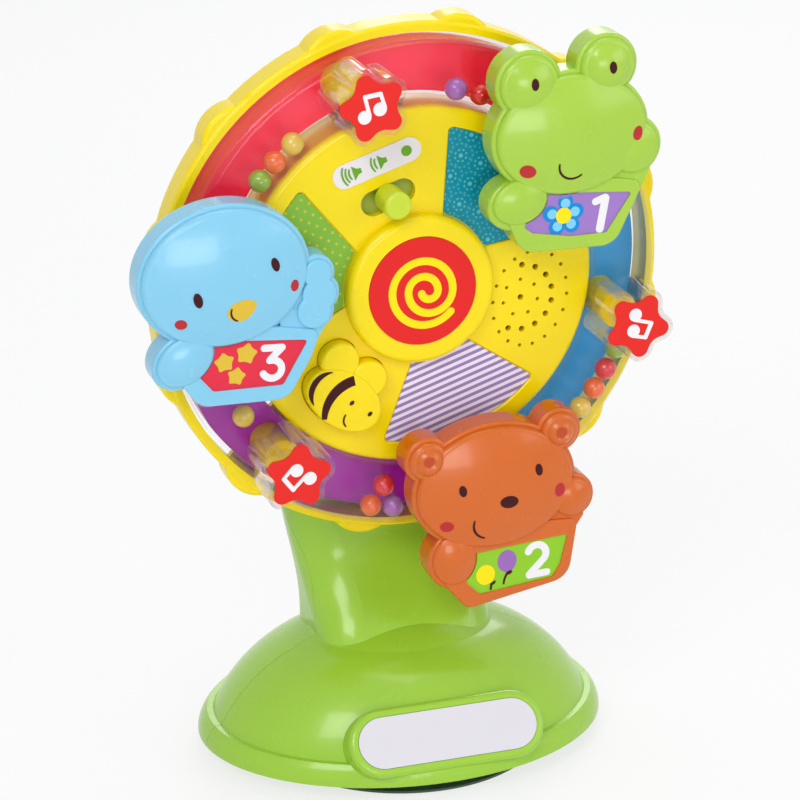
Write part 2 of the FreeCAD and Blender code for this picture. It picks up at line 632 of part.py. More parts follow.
def suction_cup():
    """Soft cup pressed flat: broad lip, shallow ring-shaped hollow, neck through the base plate."""
    lip = 6.0
    rise = CUP_CROWN_Z - CUP_THICKNESS
    points = [
        Vector(0, 0, 0), Vector(CUP_NUB_RADIUS, 0, 0), Vector(CUP_NUB_RADIUS + 4, 0, rise),
        Vector(CUP_RADIUS - lip - 14, 0, rise * 0.8), Vector(CUP_RADIUS - lip, 0, 0), Vector(CUP_RADIUS, 0, 0),
        Vector(CUP_RADIUS, 0, 0.9), Vector(CUP_RADIUS - 15, 0, CUP_CROWN_Z - 0.8), Vector(CUP_NECK_RADIUS + 6, 0, CUP_CROWN_Z),
        Vector(CUP_NECK_RADIUS + 4, 0, SKIRT_EDGE_Z), Vector(CUP_NECK_RADIUS, 0, SKIRT_EDGE_Z),
        Vector(CUP_NECK_RADIUS, 0, PLATE_TOP_Z + SEAT), Vector(CUP_NECK_RADIUS - 2, 0, PLATE_TOP_Z + SEAT),
        Vector(CUP_NECK_RADIUS - 2, 0, PLATE_TOP_Z + 2.6), Vector(CUP_NECK_RADIUS, 0, PLATE_TOP_Z + 2.6),
        Vector(CUP_NECK_RADIUS - 1, 0, CUP_NECK_TOP_Z), Vector(0, 0, CUP_NECK_TOP_Z), Vector(0, 0, 0),
    ]
    cup = Part.Face(Part.makePolygon(points)).revolve(Vector(0, 0, 0), UP, 360)
    return move(cup, Vector(0, CUP_CENTRE_Y, 0))


def cup_clamp():
    """Slotted ring that grips the groove of the cup's neck above the base plate."""
    low = PLATE_TOP_Z + SEAT + GRIP
    outer = Part.makeCylinder(CUP_NECK_RADIUS + 6, 2.4 - SEAT, Vector(0, CUP_CENTRE_Y, low))
    inner = Part.makeCylinder(CUP_NECK_RADIUS - 2 + SEAT, 6, Vector(0, CUP_CENTRE_Y, low - 1))
    return outer.cut(inner)


def label_plate():
    return on_label(pill(LABEL_WIDTH, LABEL_HEIGHT, LABEL_RECESS - LABEL_THICKNESS, LABEL_RECESS))


# ---- wheel -------------------------------------------------------------------
STAR_ANGLES = (90.0, 330.0, 210.0)
ANIMAL_ANGLES = {"frog": 30.0, "bear": 270.0, "bird": 150.0}
SWITCH_ANGLE = 90.0
SPEAKER_ANGLE = 330.0
HOOP_INNER = HOOP_RADIUS - HOOP_WALL
HOOP_FRONT_Y = WHEEL_REAR_Y - HOOP_DEPTH
WHEEL_SCREW_ANGLES = tuple(60.0 * k for k in range(6))


def battery_place(offset=0.0, y=0.0):
    """Middle of a cell: offset is outwards from the middle of the pair."""
    return polar(BATTERY_CIRCLE + offset, BATTERY_ANGLE, y)


def battery_block(length, width, y_front, y_back):
    """Box along the cells, centred on the pair."""
    box = Part.makeBox(length, y_back - y_front, width, Vector(-length / 2, y_front, -width / 2))
    return at_polar(box, BATTERY_CIRCLE, BATTERY_ANGLE)


CELL_BAY_LENGTH = BATTERY_LENGTH + 3.0
CELL_BAY_WIDTH = BATTERY_PITCH + 2 * BATTERY_RADIUS + 0.8
COVER_LIP = 2.0


def wheel_rear_shell():
    """Rear moulding: drum, six spokes, hoop with bumps, hub, and the six posts."""
    floor_front = WHEEL_REAR_Y - REAR_WALL
    drum = ring(DRUM_RADIUS, DRUM_RADIUS - DRUM_WALL, FACE_BACK_Y, WHEEL_REAR_Y)
    floor = rod(DRUM_RADIUS, floor_front, WHEEL_REAR_Y)
    hoop = rod(HOOP_RADIUS, HOOP_FRONT_Y, WHEEL_REAR_Y)
    hoop = hoop.makeFillet(1.4, [e for e in hoop.Edges if isinstance(e.Curve, Part.Circle)])
    bumps = []
    for k in range(BUMP_COUNT):
        centre = polar(HOOP_RADIUS + BUMP_HEIGHT - BUMP_RADIUS, 360.0 / BUMP_COUNT * k)
        bump = rod(BUMP_RADIUS, HOOP_FRONT_Y + 0.6, WHEEL_REAR_Y - 0.6, centre)
        bumps.append(bump.makeFillet(1.6, [e for e in bump.Edges if isinstance(e.Curve, Part.Circle)]))
    hoop = hoop.multiFuse(bumps).cut(rod(HOOP_INNER, HOOP_FRONT_Y - 1, WHEEL_REAR_Y + 1))
    parts = [drum, floor, hoop, rod(HUB_RADIUS, HUB_FRONT_Y, HUB_REAR_Y)]
    for k in range(6):
        angle = 30.0 + 60.0 * k
        reach = HOOP_INNER + 1.0 - (DRUM_RADIUS - 3.0)
        spoke = Part.makeBox(SPOKE_WIDTH, SPOKE_THICKNESS, reach, Vector(-SPOKE_WIDTH / 2, WHEEL_REAR_Y - SPOKE_THICKNESS, 0))
        parts.append(at_polar(spoke, DRUM_RADIUS - 3.0, angle))
        centre = polar(POST_CIRCLE, angle)
        parts.append(rod(POST_RADIUS, POST_FRONT_Y, WHEEL_REAR_Y, centre))
        if angle in STAR_ANGLES:
            parts.append(rod(STAR_POST_RADIUS, STAR_POST_FRONT_Y, POST_FRONT_Y + 1, centre))
    shell = fused(parts)
    shell = shell.cut(rod(AXLE_RADIUS + GRIP, HUB_FRONT_Y - 1, HUB_REAR_Y + 1))
    for angle in STAR_ANGLES:
        centre = polar(POST_CIRCLE, angle)
        shell = shell.cut(rod(SCREW_RADIUS + GRIP, STAR_POST_FRONT_Y - 1, WHEEL_REAR_Y + 1, centre))
        shell = shell.cut(rod(SCREW_HEAD_RADIUS + SEAT, WHEEL_REAR_Y - SCREW_HEAD_DEPTH - 0.4, WHEEL_REAR_Y + 1, centre))
    for angle in ANIMAL_ANGLES.values():
        centre = polar(POST_CIRCLE, angle)
        shell = shell.cut(rod(PIN_RADIUS + GRIP, POST_FRONT_Y - 1, POST_FRONT_Y + PIN_SEAT_DEPTH + 1, centre))
    for angle in WHEEL_SCREW_ANGLES:
        centre = polar(SCREW_CIRCLE, angle)
        shell = shell.cut(rod(SCREW_RADIUS + GRIP, floor_front - 1, WHEEL_REAR_Y + 1, centre))
        shell = shell.cut(rod(SCREW_HEAD_RADIUS + SEAT, WHEEL_REAR_Y - 1.2, WHEEL_REAR_Y + 1, centre))
    shell = shell.cut(battery_block(CELL_BAY_LENGTH, CELL_BAY_WIDTH, floor_front - 1, WHEEL_REAR_Y + 1))
    return shell


def bee_lobes(grow, y_front, y_back, round_front=0.0):
    """Bee outline: an oval body with two round wings on the hub side."""
    body = (0.0, 0.0, BEE_LENGTH / 2, BEE_HEIGHT / 2, 0.0)
    shapes = [lobe(body, y_front, y_back, grow, round_front)]
    for side in (-1, 1):
        wing = (side * BEE_WING_SPREAD + 3.0, -BEE_WING_LIFT, BEE_WING_RADIUS, BEE_WING_RADIUS, 0.0)
        shapes.append(lobe(wing, y_front + 0.8, y_back, grow, round_front))
    return at_polar(fused(shapes), BEE_CIRCLE, BEE_ANGLE)


def speaker_holes():
    """Drilled holes of the speaker grille: (outward, sideways, radius) from the petal's middle."""
    holes = []
    for k in range(7):
        angle = math.radians(360.0 / 7 * k)
        holes.append((6.5 * math.cos(angle), 6.5 * math.sin(angle), 0.65))
    for k in range(9):
        angle = math.radians(-100.0 + 25.0 * k)
        holes.append((11.8 * math.cos(angle), 11.8 * math.sin(angle), 1.05))
    for k in range(18):
        angle = math.radians(20.0 * k + 10.0)
        holes.append((3.6 + 13.6 * math.cos(angle), 17.4 * math.sin(angle), 0.65))
    holes.append((0.0, 0.0, 1.05))
    return holes


BED_REACH = 4.0


def wheel_face():
    """Front moulding of the drum: three petals, recessed panel beds and the middle boss."""
    face = rod(FACE_RADIUS, FACE_FRONT_Y, FACE_BACK_Y)
    face = face.makeFillet(FACE_EDGE_ROUND, edges_at(face, FACE_FRONT_Y))
    for angle in ANIMAL_ANGLES.values():
        face = face.cut(panel(angle, FACE_FRONT_Y - 1, FACE_FRONT_Y + PANEL_RECESS, 0.0, BED_REACH))
    brink = [e for e in edges_at(face, FACE_FRONT_Y) if e.BoundBox.DiagonalLength < FACE_RADIUS]
    face = face.makeFillet(PANEL_EDGE_ROUND, brink)
    boss = rod(BOSS_RADIUS, BOSS_FRONT_Y, FACE_BACK_Y)
    boss = boss.makeFillet(2.4, edges_at(boss, BOSS_FRONT_Y))
    face = face.fuse(boss)
    face = face.cut(rod(BOSS_RADIUS - REAR_WALL, BOSS_FRONT_Y + REAR_WALL, FACE_BACK_Y + 1))
    face = face.cut(rod(SWIRL_RADIUS + SEAT, BOSS_FRONT_Y - 1, BOSS_FRONT_Y + SWIRL_THICKNESS - 0.3))
    slot_length = SLOT_WIDTH + 2 * SLIDE_TRAVEL
    slot = pill(slot_length, SLOT_WIDTH, FACE_FRONT_Y - 1, FACE_BACK_Y + 1)
    face = face.cut(at_polar(slot, SLOT_CIRCLE, SWITCH_ANGLE))
    face = face.cut(bee_lobes(FIT, FACE_FRONT_Y - 6, FACE_BACK_Y + 1))
    holes = []
    for outward, sideways, radius in speaker_holes():
        place = Vector(sideways, 0, outward)
        hole = rod(radius, FACE_FRONT_Y - 1, FACE_BACK_Y + 1, place)
        holes.append(at_polar(hole, SPEAKER_CIRCLE, SPEAKER_ANGLE))
    face = face.cut(Part.makeCompound(holes))
    bosses = []
    for angle in WHEEL_SCREW_ANGLES:
        centre = polar(SCREW_CIRCLE, angle)
        bosses.append(rod(SCREW_BOSS_RADIUS, FACE_BACK_Y - 0.5, WHEEL_REAR_Y - REAR_WALL, centre))
    face = face.multiFuse(bosses)
    for angle in WHEEL_SCREW_ANGLES:
        centre = polar(SCREW_CIRCLE, angle)
        face = face.cut(rod(SCREW_RADIUS + GRIP, FACE_BACK_Y + 2, WHEEL_REAR_Y + 1, centre))
    return face.removeSplitter()


def tube_cover():
    """Clear front of the bead tube: a ring-shaped channel open at the back."""
    outer = ring(TUBE_OUTER, TUBE_INNER, TUBE_FRONT_Y, TUBE_BACK_Y)
    outer = outer.makeFillet(TUBE_ROUND, edges_at(outer, TUBE_FRONT_Y)[:1])
    inner = ring(TUBE_OUTER - TUBE_WALL, TUBE_INNER + TUBE_WALL, TUBE_FRONT_Y + TUBE_WALL, TUBE_BACK_Y + 1)
    cover = outer.cut(inner)
    for k in range(6):
        cover = cover.cut(rod(POST_RADIUS + SEAT, TUBE_FRONT_Y - 1, TUBE_BACK_Y + 1, polar(POST_CIRCLE, 30.0 + 60.0 * k)))
    return cover


def tube_rear():
    back = TUBE_BACK_Y + TUBE_REAR_THICKNESS
    plate = ring(TUBE_OUTER, TUBE_INNER, TUBE_BACK_Y, back)
    for k in range(6):
        plate = plate.cut(rod(POST_RADIUS + SEAT, TUBE_BACK_Y - 1, back + 1, polar(POST_CIRCLE, 30.0 + 60.0 * k)))
    return plate


def tube_backing(from_deg, to_deg):
    gap = 4.0
    inner = TUBE_INNER + TUBE_WALL + SEAT
    back = sector(inner, BACKING_OUTER, from_deg + gap, to_deg - gap, TUBE_BACK_Y - BACKING_THICKNESS, TUBE_BACK_Y)
    for k in range(6):
        back = back.cut(rod(POST_RADIUS + SEAT, TUBE_BACK_Y - 5, TUBE_BACK_Y + 5, polar(POST_CIRCLE, 30.0 + 60.0 * k)))
    return back


INNER_TRACK = TUBE_INNER + TUBE_WALL + FIT + BEAD_RADIUS
OUTER_TRACK = TUBE_OUTER - TUBE_WALL - FIT - BEAD_RADIUS
BEAD_Y = TUBE_FRONT_Y + TUBE_WALL + FIT + BEAD_RADIUS
# Angles from the upright pose of the wheel, and the wall that each bead rests on.
BEADS = {
    "green_beads": [(INNER_TRACK, 124.4), (OUTER_TRACK, 318.8), (INNER_TRACK, 137.6)],
    "orange_beads": [(INNER_TRACK, 117.8), (OUTER_TRACK, 307.4), (OUTER_TRACK, 240.5)],
    "yellow_beads": [(INNER_TRACK, 110.7), (OUTER_TRACK, 301.5), (INNER_TRACK + 5.0, 195.4)],
    "purple_beads": [(INNER_TRACK, 59.9), (OUTER_TRACK, 246.3), (OUTER_TRACK, 185.0)],
    "red_beads": [(INNER_TRACK, 52.3), (OUTER_TRACK, 313.0), (OUTER_TRACK - 7.6, 243.1)],
}


def beads(places):
    balls = []
    for radius, degrees in places:
        balls.append(Part.makeSphere(BEAD_RADIUS, polar(radius, degrees, BEAD_Y)))
    return Part.makeCompound(balls)


def axle():
    shaft = rod(AXLE_RADIUS, HUB_FRONT_Y, AXLE_REAR_Y)
    head = rod(AXLE_HEAD_RADIUS, HUB_FRONT_Y - AXLE_HEAD_THICKNESS, HUB_FRONT_Y)
    groove_front = FRONT_BOSS_BACK_Y + BUSH_FLANGE + FIT / 2
    groove = ring(AXLE_RADIUS + 1, AXLE_RADIUS - 0.8, groove_front, groove_front + CLIP_THICKNESS)
    return shaft.fuse(head).cut(groove)


def axle_clip():
    front = FRONT_BOSS_BACK_Y + BUSH_FLANGE + FIT / 2
    gap = 0.04
    clip = ring(CLIP_RADIUS, AXLE_RADIUS - 0.8 + gap, front + gap, front + CLIP_THICKNESS - gap)
    mouth = Part.makeBox(4.0, 4, 20, Vector(-2.0, front - 1, -20))
    return clip.cut(mouth)


def star_body(degrees):
    """Clear hollow star, open at the back, that stands on the front of the tube."""
    back = TUBE_FRONT_Y - FIT
    solid = plump_star(0.0, STAR_FRONT_Y, back)
    hollow = plump_star(STAR_WALL, STAR_FRONT_Y + STAR_WALL, back + 1)
    body = solid.cut(hollow)
    boss = ring(SCREW_BOSS_RADIUS, SCREW_RADIUS + GRIP, STAR_FRONT_Y + STAR_WALL - 0.2, STAR_POST_FRONT_Y - SEAT)
    return at_polar(body.fuse(boss), POST_CIRCLE, degrees)


def star_sticker(degrees):
    sheet = plump_star(STICKER_INSET, STAR_FRONT_Y - STICKER_THICKNESS, STAR_FRONT_Y)
    return at_polar(sheet, POST_CIRCLE, degrees)


def star_screws():
    shapes = []
    for degrees in STAR_ANGLES:
        head_back = WHEEL_REAR_Y - 0.4
        length = head_back - STAR_POST_FRONT_Y + 5.5
        shapes.append(screw(head_back, length, polar(POST_CIRCLE, degrees)))
    return Part.makeCompound(shapes)


def animal_pins():
    """Shoulder pins: pressed in the posts, a collar behind each animal and a head inside it."""
    shapes = []
    boss_front = ANIMAL_PARTING_Y + FIT
    head_back = boss_front - FIT
    for degrees in ANIMAL_ANGLES.values():
        centre = polar(POST_CIRCLE, degrees)
        shank = rod(PIN_RADIUS, head_back - PIN_HEAD_THICKNESS, POST_FRONT_Y + PIN_SEAT_DEPTH, centre)
        collar = rod(PIN_HEAD_RADIUS, ANIMAL_BACK_Y + FIT, POST_FRONT_Y, centre)
        head = rod(PIN_HEAD_RADIUS, head_back - PIN_HEAD_THICKNESS, head_back, centre)
        shapes.append(fused([shank, collar, head]))
    return Part.makeCompound(shapes)


def swirl_disc():
    back = BOSS_FRONT_Y + SWIRL_THICKNESS - 0.3
    return rod(SWIRL_RADIUS, back - SWIRL_THICKNESS, back)


def switch_label():
    plate = pill(SWITCH_LABEL_LENGTH, SWITCH_LABEL_WIDTH, FACE_FRONT_Y - LABEL_SHEET, FACE_FRONT_Y)
    return at_polar(plate, SWITCH_LABEL_CIRCLE, SWITCH_ANGLE)


def face_panel(degrees):
    bed = FACE_FRONT_Y + PANEL_RECESS
    return panel(degrees, bed - PANEL_THICKNESS, bed, SEAT)


def volume_knob():
    knob = rod(KNOB_RADIUS, KNOB_FRONT_Y, FACE_FRONT_Y - FIT)
    knob = knob.makeFillet(1.2, edges_at(knob, KNOB_FRONT_Y))
    neck = rod(KNOB_NECK_RADIUS, FACE_FRONT_Y - 1, FACE_BACK_Y + SEAT)
    return at_polar(knob.fuse(neck), SLOT_CIRCLE, SWITCH_ANGLE)


def slider_carrier():
    """Plate behind the slot that covers it at every setting of the knob."""
    front = FACE_BACK_Y + SEAT
    length = SLOT_WIDTH + 4 * SLIDE_TRAVEL + 2.0
    plate = pill(length, CARRIER_WIDTH, front, front + CARRIER_THICKNESS)
    return at_polar(plate, SLOT_CIRCLE, SWITCH_ANGLE)


def bee_button():
    front = bee_lobes(0.0, BEE_FRONT_Y, FACE_BACK_Y + SEAT, 1.6)
    flange = bee_lobes(BEE_FLANGE, FACE_BACK_Y + SEAT, FACE_BACK_Y + SEAT + BEE_FLANGE_THICKNESS)
    return front.fuse(flange).removeSplitter()


def bee_dome():
    """Rubber key dome on the circuit board, behind the bee button."""
    front = FACE_BACK_Y + SEAT + BEE_FLANGE_THICKNESS + BEE_STROKE + FIT
    pad = rod(5.5, BOARD_Y - 0.8, BOARD_Y)
    cap = rod(3.0, front, BOARD_Y - 0.5)
    return at_polar(pad.fuse(cap), BEE_CIRCLE - 3.0, BEE_ANGLE)


def circuit_board():
    """Curved board behind the switch and the bee, with its chip and the spin switch."""
    back = BOARD_Y + BOARD_THICKNESS
    board = sector(BOARD_INNER, BOARD_OUTER, 98.0, 236.0, BOARD_Y, back)
    for degrees in (120.0, 180.0):
        board = board.cut(rod(2.0, BOARD_Y - 1, back + 1, polar(50.0, degrees)))
    chip = Part.makeBox(9, 2.0, 7, Vector(-4.5, back, -3.5))
    chip = at_polar(chip, 33.0, 150.0)
    return Part.makeCompound([board, chip])


def spin_switch():
    """Small tilt can that tells the board that the wheel is turning."""
    back = BOARD_Y + BOARD_THICKNESS
    can = rod(2.6, back, back + 5.5)
    return at_polar(can, 44.0, 165.0)


def board_pillars():
    """Pillars of the rear moulding that carry the circuit board."""
    shapes = []
    for degrees in (120.0, 180.0):
        centre = polar(50.0, degrees)
        shapes.append(rod(3.4, BOARD_Y + BOARD_THICKNESS, WHEEL_REAR_Y - REAR_WALL + 0.5, centre))
        shapes.append(rod(1.9, BOARD_Y - 0.6, BOARD_Y + BOARD_THICKNESS + 1, centre))
    return shapes


def speaker_driver():
    front = FACE_BACK_Y
    frame = ring(SPEAKER_RADIUS, SPEAKER_RADIUS - 2.0, front, front + SPEAKER_FRAME_DEPTH)
    cone = rod(SPEAKER_RADIUS - 1.0, front + 1.2, front + SPEAKER_FRAME_DEPTH)
    magnet = rod(MAGNET_RADIUS, front + SPEAKER_FRAME_DEPTH - 0.5, front + SPEAKER_FRAME_DEPTH + MAGNET_DEPTH)
    return at_polar(fused([frame, cone, magnet]), SPEAKER_CIRCLE, SPEAKER_ANGLE)


CELL_Y = WHEEL_REAR_Y - REAR_WALL - BATTERY_RADIUS - 0.3


def batteries():
    cells = []
    for side in (-1, 1):
        body = Part.makeCylinder(BATTERY_RADIUS, BATTERY_LENGTH - 1.2, Vector(-BATTERY_LENGTH / 2, 0, 0), Vector(1, 0, 0))
        nub = Part.makeCylinder(1.9, 1.3, Vector(BATTERY_LENGTH / 2 - 1.3, 0, 0), Vector(1, 0, 0))
        cell = body.fuse(nub)
        if side < 0:
            cell.rotate(Vector(0, 0, 0), BACK, 180)
        cell.translate(Vector(0, CELL_Y, side * BATTERY_PITCH / 2))
        cells.append(at_polar(cell, BATTERY_CIRCLE, BATTERY_ANGLE))
    return Part.makeCompound(cells)


def battery_tray():
    """Open box round the two cells, fixed behind the opening of the rear moulding."""
    back = WHEEL_REAR_Y - REAR_WALL
    front = CELL_Y - BATTERY_RADIUS - 0.3 - TRAY_WALL
    outer = battery_block(CELL_BAY_LENGTH + 2 * TRAY_WALL, CELL_BAY_WIDTH + 2 * TRAY_WALL, front, back)
    inner = battery_block(CELL_BAY_LENGTH, CELL_BAY_WIDTH, front + TRAY_WALL, back + 1)
    return outer.cut(inner)


def battery_contacts():
    shapes = []
    for side in (-1, 1):
        plate = Part.makeBox(0.4, 8.0, CELL_BAY_WIDTH - 1.0,
                             Vector(side * (CELL_BAY_LENGTH / 2 - 0.3) - 0.2, CELL_Y - 4.0, -CELL_BAY_WIDTH / 2 + 0.5))
        shapes.append(at_polar(plate, BATTERY_CIRCLE, BATTERY_ANGLE))
    return Part.makeCompound(shapes)


def battery_cover():
    """Flush cover of the battery bay, at the back of the wheel."""
    front = WHEEL_REAR_Y - REAR_WALL + SEAT
    cover = battery_block(CELL_BAY_LENGTH - 2 * SEAT, CELL_BAY_WIDTH - 2 * SEAT, front, WHEEL_REAR_Y)
    hole = at_polar(rod(SCREW_RADIUS + GRIP, front - 1, WHEEL_REAR_Y + 1), BATTERY_CIRCLE, BATTERY_ANGLE)
    sink = at_polar(rod(SCREW_HEAD_RADIUS + SEAT, WHEEL_REAR_Y - 1.3, WHEEL_REAR_Y + 1), BATTERY_CIRCLE, BATTERY_ANGLE)
    return cover.cut(hole).cut(sink)


def battery_cover_screw():
    head_back = WHEEL_REAR_Y
    head = rod(SCREW_HEAD_RADIUS, head_back - 1.2, head_back)
    shank = rod(SCREW_RADIUS, head_back - 3.6, head_back - 1.2)
    return at_polar(head.fuse(shank), BATTERY_CIRCLE, BATTERY_ANGLE)


def wheel_screws():
    shapes = []
    for degrees in WHEEL_SCREW_ANGLES:
        centre = polar(SCREW_CIRCLE, degrees)
        head_back = WHEEL_REAR_Y - 0.1
        head = rod(SCREW_HEAD_RADIUS, head_back - 1.0, head_back, centre)
        shank = rod(SCREW_RADIUS, head_back - 10.0, head_back - 1.0, centre)
        shapes.append(head.fuse(shank))
    return Part.makeCompound(shapes)


# ---- animals -----------------------------------------------------------------
# Every outline is measured from the animal's pin: lobes are (x, z, half width,
# half height, tilt), signs are corner points, seen from the front.
HEADS = {
    "frog": (-2.4, -0.4, 28.4, 22.2, 4.3),
    "bear": (-1.5, 1.9, 30.2, 23.7, 3.3),
    "bird": (-1.1, 2.1, 30.0, 25.0, 7.1),
}
TOPS = {
    "frog": [(-17.7, 17.8, 12.0, 12.0, 0.0), (10.2, 22.3, 11.1, 11.1, 0.0)],
    "bear": [(-26.0, 14.3, 8.5, 8.5, 0.0), (22.2, 19.6, 8.3, 8.3, 0.0)],
    "bird": [],
}
EAR_DISHES = {"frog": [], "bear": [(-26.6, 15.0), (22.0, 20.0)], "bird": []}
ARMS = {
    "frog": [(-22.0, -23.8, 10.0, 8.9, 14.0), (20.2, -6.9, 10.7, 10.7, 0.0)],
    "bear": [(-16.4, -24.6, 9.4, 10.6, 0.0), (27.3, -5.8, 8.6, 8.6, 0.0)],
    "bird": [(-15.6, -26.0, 11.6, 9.2, 35.0)],
}
HANDS = {
    "frog": [(-20.6, -22.5, 9.9, 8.0, 14.0), (20.2, -6.9, 9.3, 9.3, 0.0)],
    "bear": [(-16.3, -24.0, 8.0, 9.6, 0.0), (27.3, -5.8, 7.2, 7.2, 0.0)],
    "bird": [(-15.2, -25.5, 10.6, 8.1, 35.0)],
}
WINGS = {
    "frog": [],
    "bear": [],
    "bird": [(31.0, 0.0, 6.4, 6.4, 0.0), (31.6, -7.2, 7.4, 7.4, 0.0), (29.8, -13.0, 7.4, 7.4, 0.0)],
}
# Corners of the signs are (x, z, rounding); webs join a sign to the arm above it.
SIGNS = {
    "frog": [(-14.0, -12.0, 3.0), (24.6, -19.4, 3.0), (14.2, -41.4, 8.0), (-20.0, -41.0, 8.0), (-25.5, -28.0, 3.0)],
    "bear": [(-10.0, -12.0, 3.0), (29.8, -14.2, 3.0), (26.6, -36.5, 8.0), (-11.5, -43.4, 5.0), (-20.0, -33.0, 3.0)],
    "bird": [(-10.0, -12.0, 3.0), (32.2, -19.8, 3.0), (28.4, -29.6, 20.0), (20.3, -43.3, 8.0), (-10.7, -42.6, 8.0),
             (-19.0, -30.0, 3.0)],
}
WEBS = {
    "frog": [(10.0, -10.0, 1.0), (27.3, -14.4, 1.0), (24.0, -21.5, 1.0), (10.0, -21.0, 1.0)],
    "bear": [(16.0, -8.0, 1.0), (32.6, -12.4, 1.0), (28.6, -18.5, 1.0), (16.0, -18.0, 1.0)],
    "bird": [(18.0, -9.0, 1.0), (34.0, -18.2, 1.0), (31.0, -23.0, 1.0), (18.0, -22.0, 1.0)],
}
SIGN_PLATES = {
    "frog": [(-14.0, -20.0, 1.0), (20.3, -22.8, 1.0), (11.0, -36.5, 1.4), (-2.2, -36.5, 3.0), (-16.1, -34.0, 1.4),
             (-19.0, -31.9, 1.0), (-18.0, -26.0, 1.0)],
    "bear": [(-12.0, -22.6, 1.0), (26.0, -19.6, 1.0), (23.2, -31.0, 4.0), (20.4, -35.4, 1.4), (-6.8, -38.3, 1.4),
             (-11.9, -33.4, 1.0), (-12.0, -28.0, 1.0)],
    "bird": [(-9.0, -19.2, 1.0), (27.5, -22.7, 1.0), (18.6, -37.8, 2.0), (-5.8, -37.4, 2.0), (-10.4, -31.9, 1.4),
             (-9.5, -26.0, 1.0)],
}
CHIN_GAP = 0.4


def swollen(place, by):
    """The same oval, larger or smaller all round."""
    x, z, half_x, half_z, tilt = place
    return x, z, half_x + by, half_z + by, tilt


def animal_rear(name):
    """Rear half: closed back with the pivot boss inside."""
    head = HEADS[name]
    parts = [lobe(head, ANIMAL_PARTING_Y, ANIMAL_BACK_Y, 0.0, 0.0, ANIMAL_ROUND)]
    for place in TOPS[name] + ARMS[name] + WINGS[name]:
        parts.append(lobe(place, ANIMAL_PARTING_Y, ANIMAL_BACK_Y, 0.0, 0.0, ANIMAL_ROUND))
    parts.append(rounded_prism(SIGNS[name], ANIMAL_PARTING_Y, ANIMAL_BACK_Y))
    parts.append(rounded_prism(WEBS[name], ANIMAL_PARTING_Y, ANIMAL_BACK_Y))
    hollow = lobe(head, ANIMAL_PARTING_Y - 1, ANIMAL_BACK_Y - ANIMAL_WALL, -ANIMAL_WALL)
    shell = fused(parts).cut(hollow)
    shell = shell.fuse(rod(PIVOT_BOSS_RADIUS, ANIMAL_PARTING_Y + FIT, ANIMAL_BACK_Y - 0.5))
    return shell.cut(rod(PIN_RADIUS + RUNNING, ANIMAL_PARTING_Y - 1, ANIMAL_BACK_Y + 1))


def sign_frame(name):
    """Front of the sign: a raised border round the bed of the printed plate."""
    frame_y = ANIMAL_PLATE_Y - SIGN_LIP
    frame = rounded_prism(SIGNS[name], frame_y, ANIMAL_PARTING_Y)
    frame = frame.makeFillet(SIGN_LIP * 0.8, edges_at(frame, frame_y))
    return frame.cut(rounded_prism(SIGN_PLATES[name], frame_y - 1, ANIMAL_PLATE_Y))


def ear_dish(place):
    """Ball that scoops a round dish out of the front of an ear."""
    ball = (EAR_DISH_RADIUS ** 2 + EAR_DISH_DEPTH ** 2) / (2 * EAR_DISH_DEPTH)
    floor_y = ANIMAL_EDGE_Y + 0.3 - TOP_BULGE + EAR_DISH_DEPTH
    return Part.makeSphere(ball, Vector(place[0], floor_y - ball, place[1]))


def animal_front(name):
    """Front half: a plate with the whole outline, and on it the domes of head, ears and arms."""
    head = swollen(HEADS[name], -DOME_INSET_RIM)
    parting = ANIMAL_PARTING_Y
    foot = ANIMAL_PLATE_Y + 1.5
    parts = [sign_frame(name), rounded_prism(WEBS[name], ANIMAL_PLATE_Y, parting)]
    for place in [HEADS[name]] + TOPS[name] + ARMS[name] + WINGS[name]:
        parts.append(lobe(place, ANIMAL_PLATE_Y, parting, 0.0, PLATE_ROUND))
    parts.append(lobe(head, ANIMAL_EDGE_Y, foot, 0.0, DOME_ROUND, 0.0, HEAD_BULGE))
    for place in TOPS[name]:
        parts.append(lobe(place, ANIMAL_EDGE_Y + 0.3, foot, -DOME_INSET_RIM, DOME_ROUND, 0.0, TOP_BULGE))
    for place in HANDS[name]:
        parts.append(lobe(place, ANIMAL_EDGE_Y + 0.6, foot, 0.0, DOME_ROUND * 0.8, 0.0, ARM_BULGE))
    for place in WINGS[name]:
        parts.append(lobe(place, ANIMAL_EDGE_Y + 0.9, foot, -DOME_INSET_RIM, 0.8))
    shell = fused(parts)
    for place in EAR_DISHES[name]:
        shell = shell.cut(ear_dish(place))
    return shell.cut(lobe(head, ANIMAL_EDGE_Y + ANIMAL_WALL, parting + 1, -ANIMAL_WALL))


def animal_sign(name):
    """Printed plate on the sign, cut round the domes of the head and the hand."""
    plate = rounded_prism(SIGN_PLATES[name], ANIMAL_PLATE_Y - LABEL_SHEET, ANIMAL_PLATE_Y)
    for place in [swollen(HEADS[name], -DOME_INSET_RIM)] + HANDS[name]:
        plate = plate.cut(lobe(place, ANIMAL_PLATE_Y - 2, ANIMAL_PLATE_Y + 1, CHIN_GAP))
    return plate


# ---- assembly ----------------------------------------------------------------
def on_wheel(shape):
    """From the wheel's upright pose to its place on the stand."""
    return move(turn(shape, WHEEL_TURN), Vector(0, 0, AXLE_HEIGHT))


def on_pin(shape, name):
    """An animal hangs upright from its pin, wherever the wheel has carried the pin."""
    pin = polar(POST_CIRCLE, ANIMAL_ANGLES[name] + WHEEL_TURN)
    return move(shape, Vector(pin.x, 0, AXLE_HEIGHT + pin.z))


